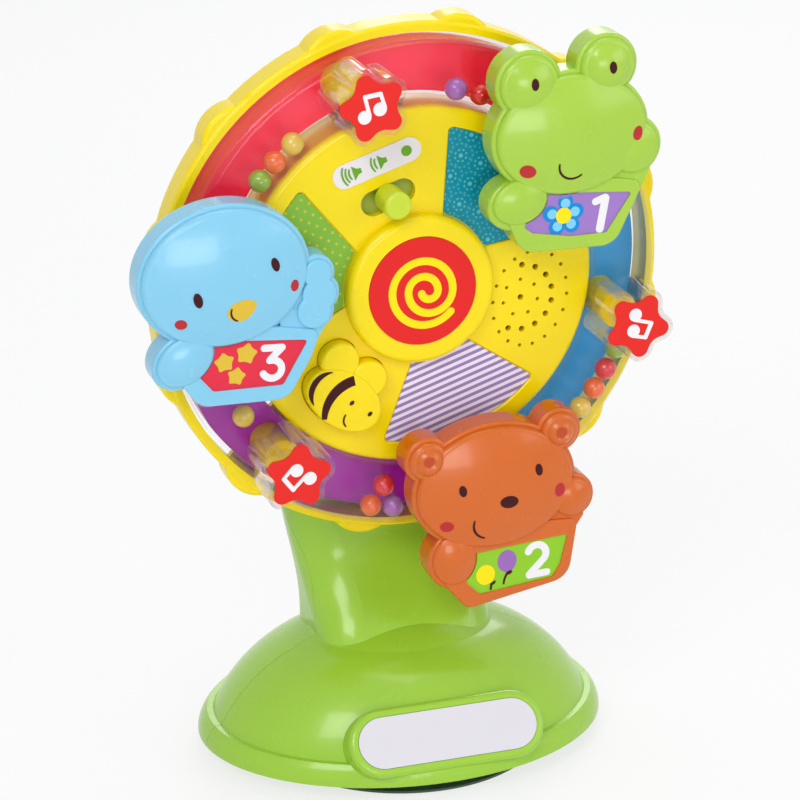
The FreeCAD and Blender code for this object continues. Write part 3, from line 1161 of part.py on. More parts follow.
def build():
    front_shell, rear_shell = stand_shells()
    nodes = {
        "stand_front_shell": front_shell,
        "stand_rear_shell": rear_shell,
        "base_plate": base_plate(),
        "suction_cup": suction_cup(),
        "cup_clamp": cup_clamp(),
        "base_screws": base_screws(),
        "stand_screws": stand_screws(),
        "label_plate": label_plate(),
        "front_bush": front_bush(),
        "rear_bush": rear_bush(),
        "thrust_washer": thrust_washer(),
    }
    wheel = {
        "wheel_rear_shell": wheel_rear_shell().multiFuse(board_pillars()).removeSplitter(),
        "wheel_face": wheel_face(),
        "tube_cover": tube_cover(),
        "tube_rear": tube_rear(),
        "tube_backing_red": tube_backing(30.0, 150.0),
        "tube_backing_blue": tube_backing(-90.0, 30.0),
        "tube_backing_purple": tube_backing(150.0, 270.0),
        "teal_panel": face_panel(ANIMAL_ANGLES["frog"]),
        "stripe_panel": face_panel(ANIMAL_ANGLES["bear"]),
        "dot_panel": face_panel(ANIMAL_ANGLES["bird"]),
        "swirl_disc": swirl_disc(),
        "switch_label": switch_label(),
        "axle": axle(),
        "axle_clip": axle_clip(),
        "star_body_top": star_body(STAR_ANGLES[0]),
        "star_body_right": star_body(STAR_ANGLES[1]),
        "star_body_left": star_body(STAR_ANGLES[2]),
        "star_stickers": Part.makeCompound([star_sticker(a) for a in STAR_ANGLES]),
        "star_screws": star_screws(),
        "animal_pins": animal_pins(),
        "volume_knob": volume_knob(),
        "slider_carrier": slider_carrier(),
        "bee_button": bee_button(),
        "bee_dome": bee_dome(),
        "circuit_board": circuit_board(),
        "spin_switch": spin_switch(),
        "speaker_driver": speaker_driver(),
        "batteries": batteries(),
        "battery_tray": battery_tray(),
        "battery_contacts": battery_contacts(),
        "battery_cover": battery_cover(),
        "battery_cover_screw": battery_cover_screw(),
        "wheel_screws": wheel_screws(),
    }
    for name, places in BEADS.items():
        wheel[name] = beads(places)
    for name, shape in wheel.items():
        nodes[name] = on_wheel(shape)
    for animal in ANIMAL_ANGLES:
        nodes[animal + "_rear_shell"] = on_pin(animal_rear(animal), animal)
        nodes[animal + "_front_shell"] = on_pin(animal_front(animal), animal)
        nodes[animal + "_sign"] = on_pin(animal_sign(animal), animal)
    return nodes


os.makedirs("parts", exist_ok=True)
for node, shape in build().items():
    solids = len(shape.Solids)
    print(node, "solids", solids, "valid", shape.isValid(), "volume", round(shape.Volume, 1))
    shape.exportStep("parts/" + node + ".step")
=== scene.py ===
"""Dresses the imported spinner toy: finishes for every moulding, prints, faces and small details."""
from __future__ import annotations

import json
import logging
import math
from dataclasses import dataclass
from enum import Enum
from typing import Any, ClassVar, Iterable, Iterator, Optional, Sequence, Union

import bmesh
import bpy
from mathutils import Matrix, Vector
from mathutils.bvhtree import BVHTree

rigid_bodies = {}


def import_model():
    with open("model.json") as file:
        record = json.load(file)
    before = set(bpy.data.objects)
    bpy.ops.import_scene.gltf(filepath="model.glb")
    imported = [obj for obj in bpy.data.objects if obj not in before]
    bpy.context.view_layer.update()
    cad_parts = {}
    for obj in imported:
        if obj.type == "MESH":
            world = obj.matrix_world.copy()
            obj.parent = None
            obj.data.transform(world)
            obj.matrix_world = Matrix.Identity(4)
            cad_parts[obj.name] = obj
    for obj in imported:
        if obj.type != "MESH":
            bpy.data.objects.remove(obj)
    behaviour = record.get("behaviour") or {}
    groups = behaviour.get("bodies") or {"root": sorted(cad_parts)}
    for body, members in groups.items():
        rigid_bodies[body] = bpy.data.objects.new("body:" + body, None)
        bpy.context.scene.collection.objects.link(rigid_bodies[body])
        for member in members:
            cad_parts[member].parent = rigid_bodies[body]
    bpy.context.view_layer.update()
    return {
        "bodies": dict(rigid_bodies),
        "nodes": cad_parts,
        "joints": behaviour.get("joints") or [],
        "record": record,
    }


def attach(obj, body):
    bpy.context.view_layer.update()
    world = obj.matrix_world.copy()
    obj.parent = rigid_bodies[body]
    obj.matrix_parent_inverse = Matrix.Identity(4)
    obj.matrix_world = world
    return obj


LOG = logging.getLogger("spinner")
MM = 0.001
Color = tuple[float, float, float]
Place = tuple[float, float]

AXLE_HEIGHT = 177.5
WHEEL_TURN = 18.0
PIN_CIRCLE = 75.0
STAR_ANGLES = {"top": 90.0, "right": 330.0, "left": 210.0}
FRONT_AXIS = Vector((0.0, -1.0, 0.0))


def srgb(red: int, green: int, blue: int) -> Color:
    """Linear colour of three 8-bit display values, by the sRGB standard's curve.

    Args:
        red: Red, 0 to 255.
        green: Green, 0 to 255.
        blue: Blue, 0 to 255.

    Returns:
        The colour in the linear space that shaders use.
    """
    def channel(value: int) -> float:
        """Linear value of one channel."""
        share = value / 255.0
        return share / 12.92 if share <= 0.04045 else ((share + 0.055) / 1.055) ** 2.4
    return channel(red), channel(green), channel(blue)


def on_wheel(radius: float, degrees: float) -> Place:
    """X and Z in mm of a place on the turned wheel, by its own radius and counter-clockwise angle."""
    angle = math.radians(degrees + WHEEL_TURN)
    return radius * math.cos(angle), AXLE_HEIGHT + radius * math.sin(angle)


# ---- shader maths ----
Socket = bpy.types.NodeSocket
Number = Union[float, int, "Signal"]


@dataclass(frozen=True)
class Signal:
    """A number in a shader: a socket with Python's operators."""

    paint: "Paint"
    socket: Socket

    def math(self, operation: str, *others: Number, clamp: bool = False) -> "Signal":
        """Result of one of Blender's Math operations on this and other numbers."""
        return self.paint.math(operation, self, *others, clamp=clamp)

    def __add__(self, other: Number) -> "Signal":
        """Sum."""
        return self.math("ADD", other)

    __radd__ = __add__

    def __sub__(self, other: Number) -> "Signal":
        """Difference."""
        return self.math("SUBTRACT", other)

    def __rsub__(self, other: Number) -> "Signal":
        """Difference from a number."""
        return self.paint.math("SUBTRACT", other, self)

    def __mul__(self, other: Number) -> "Signal":
        """Product."""
        return self.math("MULTIPLY", other)

    def __truediv__(self, other: Number) -> "Signal":
        """Quotient."""
        return self.math("DIVIDE", other)

    def __pow__(self, other: Number) -> "Signal":
        """Power."""
        return self.math("POWER", other)

    def __abs__(self) -> "Signal":
        """Distance from zero."""
        return self.math("ABSOLUTE")

    def above(self, edge: float, soft: float) -> "Signal":
        """1 where the value is over an edge, 0 under it, with a step as wide as soft."""
        return ((self - edge) / soft + 0.5).math("MULTIPLY", 1.0, clamp=True)

    def below(self, edge: float, soft: float) -> "Signal":
        """1 where the value is under an edge, 0 over it."""
        return 1.0 - self.above(edge, soft)

    def cell(self, pitch: float, offset: Number = 0.0) -> "Signal":
        """Signed distance from the nearest line of a row of lines that are a pitch apart."""
        wrapped = ((self - offset) / pitch + 0.5).math("FRACT")
        return (wrapped - 0.5) * pitch


class Paint:
    """One material while its nodes are put together."""

    def __init__(self, name: str, world: bool = False) -> None:
        """Starts with no nodes.

        Args:
            name: Name of the material.
            world: Whether it is the surroundings instead.
        """
        self.material = (bpy.data.worlds if world else bpy.data.materials).new(name)
        self.output = "OutputWorld" if world else "OutputMaterial"
        self.material.use_nodes = True
        self.tree = self.material.node_tree
        self.tree.nodes.clear()

    def node(self, kind: str, inputs: Optional[dict[Any, Any]] = None, **settings: Any) -> bpy.types.Node:
        """Adds a node.

        Args:
            kind: Blender's node type, without the word that all types start with.
            inputs: Values or links of its sockets, by name or number.
            settings: Properties of the node, set first.

        Returns:
            The node.
        """
        made = self.tree.nodes.new("ShaderNode" + kind)
        for key, value in settings.items():
            setattr(made, key, value)
        for key, value in (inputs or {}).items():
            socket = made.inputs[key]
            if isinstance(value, Signal):
                self.tree.links.new(value.socket, socket)
            elif isinstance(value, Socket):
                self.tree.links.new(value, socket)
            elif isinstance(value, tuple) and len(value) == 3 and socket.type == "RGBA":
                socket.default_value = (*value, 1.0)
            else:
                socket.default_value = value
        return made

    def signal(self, node: bpy.types.Node, output: Union[str, int] = 0) -> Signal:
        """A node's output as a number."""
        return Signal(self, node.outputs[output])

    def math(self, operation: str, *operands: Number, clamp: bool = False) -> Signal:
        """Adds one Math node over numbers and signals."""
        return self.signal(self.node("Math", dict(enumerate(operands)), operation=operation, use_clamp=clamp))

    def mix(self, factor: Number, low: Any, high: Any) -> Socket:
        """Blend of two colours or colour sockets: 0 gives the low one, 1 the high one."""
        return self.node("Mix", {0: factor, 6: low, 7: high}, data_type="RGBA").outputs[2]

    def position(self, centre: Sequence[float], turn: float) -> tuple[Signal, Signal, Signal]:
        """Place on the piece in mm, from a centre, in axes turned about the front axis.

        Args:
            centre: New origin, mm.
            turn: Degrees that the pattern is turned counter-clockwise, seen from the front.

        Returns:
            X, Y and Z signals.
        """
        coordinates = self.node("TexCoord").outputs["Object"]
        shift = tuple(-value * MM for value in centre)
        moved = self.node("Mapping", {"Vector": coordinates, "Location": shift})
        scaled = self.node("Mapping", {"Vector": moved.outputs[0], "Rotation": (0.0, math.radians(turn), 0.0),
                                       "Scale": (1.0 / MM, 1.0 / MM, 1.0 / MM)})
        split = self.node("SeparateXYZ", {0: scaled.outputs[0]})
        return self.signal(split, 0), self.signal(split, 1), self.signal(split, 2)

    def noise(self, scale: float, detail: float = 2.0, roughness: float = 0.5) -> Signal:
        """Noise over the piece, about 0 to 1.

        Args:
            scale: Blotches per metre.
            detail: Octaves.
            roughness: Strength of the finer octaves.

        Returns:
            The noise value.
        """
        coordinates = self.node("TexCoord").outputs["Object"]
        inputs = {"Vector": coordinates, "Scale": scale, "Detail": detail, "Roughness": roughness}
        return self.signal(self.node("TexNoise", inputs), "Fac")

    def bump(self, height: Signal, distance: float, strength: float) -> Socket:
        """Normal disturbed by a height in mm."""
        inputs = {"Height": height, "Distance": distance * MM, "Strength": strength}
        return self.node("Bump", inputs).outputs[0]

    def principled(self, **inputs: Any) -> Socket:
        """Principled shader; an input's name has underscores for its spaces."""
        named = {key.replace("_", " "): value for key, value in inputs.items()}
        return self.node("BsdfPrincipled", named).outputs[0]

    def blend(self, factor: Number, first: Socket, second: Socket) -> Socket:
        """Mixes two shaders: 0 shows the first, 1 the second."""
        return self.node("MixShader", {0: factor, 1: first, 2: second}).outputs[0]

    def backdrop_share(self) -> Signal:
        """Tells the rays that see the backdrop from those that only light the toy.

        Returns:
            1 for rays from the camera and for rays that gloss or clear plastic sends on.
        """
        path = self.node("LightPath")
        share = self.math("MAXIMUM", self.signal(path, "Is Camera Ray"), self.signal(path, "Is Glossy Ray"))
        return share.math("MAXIMUM", self.signal(path, "Is Transmission Ray"))

    def close(self, shader: Socket) -> Any:
        """Joins a shader to the output and hands over the material or world."""
        self.node(self.output, {"Surface": shader})
        return self.material


# ---- finishes ----
@dataclass(frozen=True)
class Finish:
    """What a piece's surface is made of; each kind has its own shader."""

    name: str

    def shader(self, paint: Paint) -> Socket:
        """Shader of this kind of finish, made of the paint's nodes."""
        raise NotImplementedError(self.name)

    def make(self) -> bpy.types.Material:
        """Builds the material."""
        paint = Paint(self.name)
        return paint.close(self.shader(paint))


@dataclass(frozen=True)
class Moulding(Finish):
    """Glossy moulded plastic with faint flow marks and a soft skin."""

    color: Color
    roughness: float = 0.26
    coat: float = 0.25
    depth: float = 0.86
    glow: float = 0.0
    shine: float = 0.4
    # painted light: emission strength that makes a moulding glow with its own colour although it is no lamp
    painted_glow: float = 0.0

    FLOW_SCALE: ClassVar[float] = 18.0
    FLOW_START: ClassVar[float] = 0.35
    FLOW_CONTRAST: ClassVar[float] = 1.4
    WEAR_SCALE: ClassVar[float] = 140.0
    WEAR: ClassVar[float] = 0.10
    SKIN_SCALE: ClassVar[float] = 900.0
    SKIN_HEIGHT: ClassVar[float] = 0.02
    WAVE_SCALE: ClassVar[float] = 60.0
    WAVE_HEIGHT: ClassVar[float] = 0.12
    RELIEF: ClassVar[float] = 0.35

    def base(self, paint: Paint) -> Any:
        """Colour over the piece: the plastic's own, a little deeper in the flow marks.

        Args:
            paint: The material.

        Returns:
            The colour socket.
        """
        deeper = tuple(channel * self.depth for channel in self.color)
        marks = paint.noise(self.FLOW_SCALE, 3.0, 0.55)
        return paint.mix((marks - self.FLOW_START) * self.FLOW_CONTRAST, self.color, deeper)

    def shader(self, paint: Paint) -> Socket:
        """Shader of glossy plastic.

        Args:
            paint: The material.

        Returns:
            The shader socket.
        """
        skin = paint.noise(self.SKIN_SCALE) * self.SKIN_HEIGHT
        relief = skin + paint.noise(self.WAVE_SCALE, 1.0) * self.WAVE_HEIGHT
        wear = (paint.noise(self.WEAR_SCALE) - 0.5) * self.WEAR
        return paint.principled(
            Base_Color=self.base(paint), Roughness=self.roughness + wear, Specular_IOR_Level=self.shine,
            Coat_Weight=self.coat, Coat_Roughness=0.08, Emission_Color=self.color, Emission_Strength=self.painted_glow,
            Subsurface_Weight=self.glow, Subsurface_Radius=(0.004, 0.003, 0.002), Subsurface_Scale=0.6,
            Normal=paint.bump(relief, 1.0, self.RELIEF))


class Motif(Enum):
    """Patterns printed on flat sheets."""

    STRIPES = "stripes"
    DOTS = "dots"
    ROSETTES = "rosettes"


@dataclass(frozen=True)
class Print(Moulding):
    """Printed sheet: an ink pattern over a ground colour."""

    roughness: float = 0.35
    coat: float = 0.1
    depth: float = 0.97
    shine: float = 0.2
    ink: Color = (1.0, 1.0, 1.0)
    motif: Motif = Motif.STRIPES
    pitch: Place = (3.0, 3.0)
    size: float = 0.6
    rings: tuple[tuple[float, int, float], ...] = ((2.1, 8, 0.85), (4.3, 16, 0.5))
    cover: float = 0.85

    STRIPE_SOFTNESS: ClassVar[float] = 0.12
    DOT_SOFTNESS: ClassVar[float] = 0.3
    BEAD_SOFTNESS: ClassVar[float] = 1.2
    BEAD_SIZE: ClassVar[float] = 0.3

    def mask(self, paint: Paint) -> Signal:
        """Where the ink is.

        Args:
            paint: The material.

        Returns:
            1 on the ink, 0 beside it.
        """
        x, _, z = paint.position((0.0, 0.0, AXLE_HEIGHT), WHEEL_TURN)
        if self.motif is Motif.STRIPES:
            return abs(z.cell(self.pitch[1])).below(self.size, self.STRIPE_SOFTNESS)
        grids = [self.grid(paint, x, z, share) for share in (0.0, 0.5)]
        return grids[0].math("MAXIMUM", grids[1])

    def grid(self, paint: Paint, x: Signal, z: Signal, share: float) -> Signal:
        """Ink of one of two interleaved grids.

        Args:
            paint: The material.
            x: Place across the panel, mm.
            z: Place up the panel, mm.
            share: Shift of this grid, as a share of the pitch.

        Returns:
            The ink's mask.
        """
        across = x.cell(self.pitch[0], self.pitch[0] * share)
        along = z.cell(self.pitch[1], self.pitch[1] * share)
        distance = (across * across + along * along) ** 0.5
        ink = distance.below(self.size, self.DOT_SOFTNESS)
        if self.motif is Motif.ROSETTES:
            angle = paint.math("ARCTAN2", along, across)
            for radius, count, strength in self.rings:
                beads = (angle * count).math("COSINE").above(0.0, self.BEAD_SOFTNESS)
                ink = ink + abs(distance - radius).below(self.BEAD_SIZE, self.DOT_SOFTNESS) * beads * strength
        return ink

    def base(self, paint: Paint) -> Any:
        """Ground colour with the ink on it."""
        return paint.mix(self.mask(paint) * self.cover, super().base(paint), self.ink)


@dataclass(frozen=True)
class Clear(Finish):
    """Clear moulded plastic: see-through, with bright reflections where it turns away."""

    tint: Color = (0.985, 0.985, 0.99)
    body: float = 0.03
    edge: float = 0.62
    falloff: float = 3.0

    def shader(self, paint: Paint) -> Socket:
        """Shader of clear plastic.

        Args:
            paint: The material.

        Returns:
            The shader socket.
        """
        facing = paint.signal(paint.node("LayerWeight", {"Blend": 0.35}), "Facing")
        factor = facing ** self.falloff * self.edge + self.body + paint.noise(40.0) * 0.01
        see = paint.node("BsdfTransparent", {"Color": self.tint}).outputs[0]
        gloss = paint.principled(Base_Color=(1.0, 1.0, 1.0), Metallic=1.0, Roughness=0.07,
                                 Normal=paint.bump(paint.noise(45.0, 1.0), 0.25, 0.3))
        return paint.blend(factor, see, gloss)


@dataclass(frozen=True)
class Brushed(Finish):
    """Plated or brushed metal."""

    color: Color
    roughness: float = 0.32
    grain_scale: float = 2500.0
    grain_depth: float = 0.8

    def shader(self, paint: Paint) -> Socket:
        """Shader of metal.

        Args:
            paint: The material.

        Returns:
            The shader socket.
        """
        grain = paint.noise(self.grain_scale, 3.0, 0.7)
        deeper = tuple(channel * self.grain_depth for channel in self.color)
        return paint.principled(Base_Color=paint.mix(grain, self.color, deeper), Metallic=1.0,
                                Roughness=self.roughness + (grain - 0.5) * 0.2,
                                Normal=paint.bump(grain, 0.01, 0.3))


@dataclass(frozen=True)
class Rubber(Finish):
    """Soft rubber, cloudy and finely grained."""

    color: Color
    roughness: float = 0.42
    cloud_scale: float = 30.0
    cloud_depth: float = 0.6

    def shader(self, paint: Paint) -> Socket:
        """Shader of rubber.

        Args:
            paint: The material.

        Returns:
            The shader socket.
        """
        cloud = paint.noise(self.cloud_scale, 3.0)
        deeper = tuple(channel * self.cloud_depth for channel in self.color)
        wear = (paint.noise(200.0) - 0.5) * 0.15
        return paint.principled(
            Base_Color=paint.mix(cloud, self.color, deeper), Roughness=self.roughness + wear,
            Coat_Weight=0.25, Coat_Roughness=0.2, Normal=paint.bump(paint.noise(500.0), 0.03, 0.4))


YELLOW = Moulding("yellow moulding", srgb(250, 222, 0), coat=0.12, depth=0.96, glow=0.05, shine=0.3)
GREEN = Moulding("green moulding", srgb(157, 205, 54), depth=0.94)
FROG_GREEN = Moulding("frog moulding", srgb(166, 205, 62), depth=0.93, glow=0.05)
BEAR_ORANGE = Moulding("bear moulding", srgb(212, 100, 14), depth=0.93, glow=0.05)
BIRD_BLUE = Moulding("bird moulding", srgb(132, 202, 232), depth=0.94, glow=0.05)
LIME = Moulding("lime moulding", srgb(198, 218, 44), depth=0.93)
WHITE = Moulding("white moulding", srgb(226, 226, 222), depth=0.96)
STEEL = Brushed("screw steel", (0.62, 0.61, 0.60))
SPRING = Brushed("spring steel", (0.75, 0.73, 0.68), 0.2)
# painted shade: dark crosses that stand in for the shadowed cross recesses of the screws
SLOT_SHADE = Brushed("painted screw recess shade", (0.12, 0.12, 0.12), 0.5)
CLEAR = Clear("clear moulding", body=0.014, falloff=3.4)
STAR_CLEAR = Clear("clear star", (0.985, 0.955, 0.945), 0.05, 0.75, 2.2)


def ink(name: str, red: int, green: int, blue: int) -> Moulding:
    """Half-glossy printing ink of a display colour."""
    return Moulding(name, srgb(red, green, blue), roughness=0.4, coat=0.0, depth=0.97, shine=0.2)


DARK_INK = ink("dark ink", 62, 10, 16)
CHEEK_INK = ink("cheek ink", 186, 46, 50)
WHITE_INK = ink("white ink", 238, 236, 238)
YELLOW_INK = ink("yellow ink", 248, 226, 16)
SAND_INK = ink("sand ink", 224, 188, 58)
GREEN_INK = ink("green ink", 108, 168, 40)
BLUE_INK = ink("blue ink", 18, 138, 214)
PALE_BLUE_INK = ink("pale blue ink", 126, 206, 246)
PURPLE_INK = ink("purple ink", 156, 106, 184)
# painted shade: reddish-brown dot that darkens the hollow of each bear ear's dimple
EAR_DIMPLE_SHADE = ink("ear dimple shade", 190, 76, 40)


# ---- printed marks ----
Mesh = bmesh.types.BMesh
Verts = Iterable[bmesh.types.BMVert]
UPRIGHT = Matrix.Rotation(math.pi / 2, 4, "X")
CORNER_STEPS = 4


def island(seed: bmesh.types.BMVert) -> set[bmesh.types.BMVert]:
    """Finds what is joined to one vert.

    Args:
        seed: The vert.

    Returns:
        All verts that edges join to it.
    """
    seen = {seed}
    ahead = [seed]
    while ahead:
        for edge in ahead.pop().link_edges:
            fresh = [vert for vert in edge.verts if vert not in seen]
            seen.update(fresh)
            ahead.extend(fresh)
    return seen


def disc(mesh: Mesh, segments: int, radius: float, place: Matrix) -> Sequence[bmesh.types.BMVert]:
    """Adds a filled circle and hands over its verts."""
    made = bmesh.ops.create_circle(mesh, cap_ends=True, segments=segments, radius=radius, matrix=place)
    return made["verts"]


def rounded(mesh: Mesh, verts: Sequence[bmesh.types.BMVert], offset: float) -> Verts:
    """Rounds the corners of one face.

    Args:
        mesh: The mesh.
        verts: The corners.
        offset: How far each corner is cut back, mm.

    Returns:
        All verts of the rounded face.
    """
    made = bmesh.ops.bevel(mesh, geom=verts, offset=offset, segments=CORNER_STEPS, profile=0.5,
                           affect="VERTICES", material=-1)
    return island(made["verts"][0])


class Mark:
    """A printed shape, flat in the XZ plane, in mm; angles are degrees, counter-clockwise from +X."""

    def trace(self, mesh: Mesh) -> Iterator[Verts]:
        """Adds the shape to a mesh and yields the verts of each layer of it."""
        raise NotImplementedError(type(self).__name__)


@dataclass(frozen=True)
class Oval(Mark):
    """Tilted oval about a centre."""

    x: float
    z: float
    half_x: float
    half_z: float
    tilt: float = 0.0

    SEGMENTS: ClassVar[int] = 36

    def place(self) -> Matrix:
        """Where a circle of radius 1 becomes the oval."""
        turn = Matrix.Rotation(math.radians(self.tilt), 4, FRONT_AXIS)
        size = Matrix.Diagonal((self.half_x, 1.0, self.half_z, 1.0))
        return Matrix.Translation((self.x, 0.0, self.z)) @ turn @ size @ UPRIGHT

    def trace(self, mesh: Mesh) -> Iterator[Verts]:
        """Adds the oval and yields its verts."""
        yield disc(mesh, self.SEGMENTS, 1.0, self.place())


def dot(x: float, z: float, radius: float) -> Oval:
    """Round dot."""
    return Oval(x, z, radius, radius)


@dataclass(frozen=True)
class Star(Mark):
    """Plump five-pointed star; the notches and the rounding are shares of the reach of its sharp tips."""

    x: float
    z: float
    reach: float
    tip_angle: float
    waist: float = 0.58
    rounding: float = 0.3

    TIPS: ClassVar[int] = 5

    def trace(self, mesh: Mesh) -> Iterator[Verts]:
        """Adds the star.

        Args:
            mesh: The drawing's mesh.

        Yields:
            Its verts.
        """
        centre = Vector((self.x, 0.0, self.z))
        spin = Matrix.Rotation(math.radians(self.tip_angle - 90.0), 4, "Z")
        verts = disc(mesh, 2 * self.TIPS, self.reach, Matrix.Translation(centre) @ UPRIGHT @ spin)
        for vert in verts[1::2]:
            vert.co = centre.lerp(vert.co, self.waist)
        yield rounded(mesh, verts, self.reach * self.rounding)


@dataclass(frozen=True)
class Outline(Mark):
    """Polygon with rounded corners."""

    corners: Sequence[Place]
    rounding: float

    def trace(self, mesh: Mesh) -> Iterator[Verts]:
        """Adds the polygon and yields its verts."""
        face = mesh.faces.new([mesh.verts.new((x, 0.0, z)) for x, z in self.corners])
        yield rounded(mesh, list(face.verts), self.rounding)


@dataclass(frozen=True)
class Arc(Mark):
    """Strip along an arc that bulges to the left of its chord, with widths at its start, middle and end."""

    start: Place
    end: Place
    bulge: float
    widths: tuple[float, float, float]

    STEPS: ClassVar[int] = 24

    def width(self, share: float) -> float:
        """Width at a share of the way, by the parabola through the three widths."""
        return (self.widths[0] * (1 - share) * (1 - 2 * share) + self.widths[1] * 4 * share * (1 - share)
                + self.widths[2] * share * (2 * share - 1))

    def trace(self, mesh: Mesh) -> Iterator[Verts]:
        """Adds the strip.

        Args:
            mesh: The drawing's mesh.

        Yields:
            Its verts.
        """
        verts = bmesh.ops.create_grid(mesh, x_segments=self.STEPS, y_segments=1, size=0.5)["verts"]
        first, last = Vector((self.start[0], 0.0, self.start[1])), Vector((self.end[0], 0.0, self.end[1]))
        chord = last - first
        ahead, left = chord.normalized(), Vector((-chord.z, 0.0, chord.x)).normalized()
        half = chord.length / 2
        radius = (half * half + self.bulge * self.bulge) / (2 * abs(self.bulge))
        sweep = math.asin(min(1.0, half / radius))
        side = math.copysign(1.0, self.bulge)
        centre = (first + last) / 2 + left * (self.bulge - side * radius)
        for vert in verts:
            share = vert.co.x + 0.5
            angle = (share * 2 - 1) * sweep
            outward = ahead * math.sin(angle) + left * (side * math.cos(angle))
            vert.co = centre + outward * (radius + vert.co.y * self.width(share))
        yield verts


@dataclass(frozen=True)
class Stroke(Mark):
    """Stroke of a round-tipped pen; a move is (length,) or (radius, degrees), with left turns positive."""

    x: float
    z: float
    heading: float
    width: float
    moves: Sequence[tuple[float, ...]]

    ARC_STEP: ClassVar[float] = 8.0

    def trace(self, mesh: Mesh) -> Iterator[Verts]:
        """Adds the stroke, then a dot on each of its ends.

        Args:
            mesh: The drawing's mesh.

        Yields:
            The verts of the stroke, then those of each dot.
        """
        angle = math.radians(self.heading)
        ahead = Vector((math.cos(angle), 0.0, math.sin(angle)))
        left = Vector((-ahead.z, 0.0, ahead.x))
        spot = Vector((self.x, 0.0, self.z))
        tip: list[Any] = [mesh.verts.new(spot + left * self.width * share) for share in (-0.5, 0.5)]
        first = tip[0]
        tip.append(mesh.edges.new(tip[:2]))
        for move in self.moves:
            if len(move) == 1:
                made = bmesh.ops.extrude_edge_only(mesh, edges=[tip[-1]])["geom"]
                tip = [item for item in made if isinstance(item, bmesh.types.BMVert)]
                tip += [item for item in made if isinstance(item, bmesh.types.BMEdge)
                        and all(vert in tip for vert in item.verts)]
                bmesh.ops.translate(mesh, verts=tip[:2], vec=ahead * move[0])
                spot = spot + ahead * move[0]
            else:
                radius, degrees = move
                centre = spot + (left if degrees > 0 else -left) * radius
                steps = max(2, int(abs(degrees) / self.ARC_STEP))
                turned = bmesh.ops.spin(mesh, geom=tip, cent=centre, axis=FRONT_AXIS, use_merge=False,
                                        angle=math.radians(degrees), steps=steps)
                tip = sorted(turned["geom_last"], key=lambda item: isinstance(item, bmesh.types.BMEdge))
                rotation = Matrix.Rotation(math.radians(degrees), 3, FRONT_AXIS)
                spot = centre + rotation @ (spot - centre)
                ahead, left = rotation @ ahead, rotation @ left
        yield island(first)
        for x, z in ((self.x, self.z), (spot.x, spot.z)):
            yield from dot(x, z, self.width / 2).trace(mesh)


@dataclass(frozen=True)
class Layer:
    """One ink of a print: its marks from back to front, and how far it lies over the inks under it, mm."""

    name: str
    finish: Finish
    marks: Sequence[Mark]
    lift: float = 0.0


@dataclass(frozen=True)
class Sheet:
    """Where a print goes on: its origin, its turn counter-clockwise about it, and how it is laid."""

    origin: Place = (0.0, 0.0)
    turn: float = 0.0
    cut_pitch: float = 0.0
    thickness: float = 0.1
    from_behind: bool = False

    FIRST_LIFT: ClassVar[float] = 0.04
    LIFT_STEP: ClassVar[float] = 0.02
    STEEPEST: ClassVar[float] = 0.4
    CLEAR_OF_TOY: ClassVar[float] = 0.2
    CUT_TOLERANCE: ClassVar[float] = 1e-5

    def draw(self, layer: Layer) -> Mesh:
        """Draws a layer, each mark a hair in front of the one before it.

        Args:
            layer: The layer.

        Returns:
            A flat mesh in mm, with each vert's lift.
        """
        mesh = bmesh.new()
        lifts = mesh.verts.layers.float.new("lift")
        rotation = Matrix.Rotation(math.radians(self.turn), 3, FRONT_AXIS)
        shift = Vector((self.origin[0], 0.0, self.origin[1]))
        lift = self.FIRST_LIFT + layer.lift
        for mark in layer.marks:
            for verts in mark.trace(mesh):
                lift += self.LIFT_STEP
                for vert in verts:
                    vert.co = rotation @ vert.co + shift
                    vert[lifts] = lift
        return mesh

    def divide(self, mesh: Mesh) -> None:
        """Cuts a drawing along a square grid, so that it can follow a dome.

        Args:
            mesh: The drawing.
        """
        bmesh.ops.triangulate(mesh, faces=list(mesh.faces))
        for axis in (0, 2):
            places = [vert.co[axis] for vert in mesh.verts]
            normal = Vector((float(axis == 0), 0.0, float(axis == 2)))
            cut = min(places) + self.cut_pitch / 2
            while cut < max(places):
                geometry = list(mesh.verts) + list(mesh.edges) + list(mesh.faces)
                bmesh.ops.bisect_plane(mesh, geom=geometry, dist=self.CUT_TOLERANCE, plane_co=normal * cut,
                                       plane_no=normal)
                cut += self.cut_pitch

    def lay(self, layer: Layer, surface: BVHTree) -> Mesh:
        """Draws a layer, lays it on a surface and gives it its thickness.

        Args:
            layer: The layer.
            surface: What it is printed on, in metres.

        Returns:
            The finished mesh in metres.
        """
        mesh = self.draw(layer)
        if self.cut_pitch > 0.0:
            self.divide(mesh)
        side = 1.0 if self.from_behind else -1.0
        for face in mesh.faces:
            face.normal_update()
            if face.normal.y * side < 0.0:
                face.normal_flip()
        lifts = mesh.verts.layers.float["lift"]
        for vert in mesh.verts:
            start = Vector((vert.co.x * MM, side * self.CLEAR_OF_TOY, vert.co.z * MM))
            spot, normal = surface.ray_cast(start, Vector((0.0, -side, 0.0)))[:2]
            if spot is None:
                spot, normal = surface.find_nearest(Vector((start.x, 0.0, start.z)))[:2]
            lift = vert[lifts] * MM / max(self.STEEPEST, abs(normal.y))
            vert.co = Vector((start.x, spot.y + side * lift, start.z))
        bmesh.ops.solidify(mesh, geom=list(mesh.faces), thickness=self.thickness * MM)
        return mesh


# ---- workshop ----
CROSS_LENGTH = 3.0
CROSS_WIDTH = 0.7
CROSS_ROUNDING = 0.3
CROSS_SHEET = Sheet(thickness=0.06, from_behind=True)


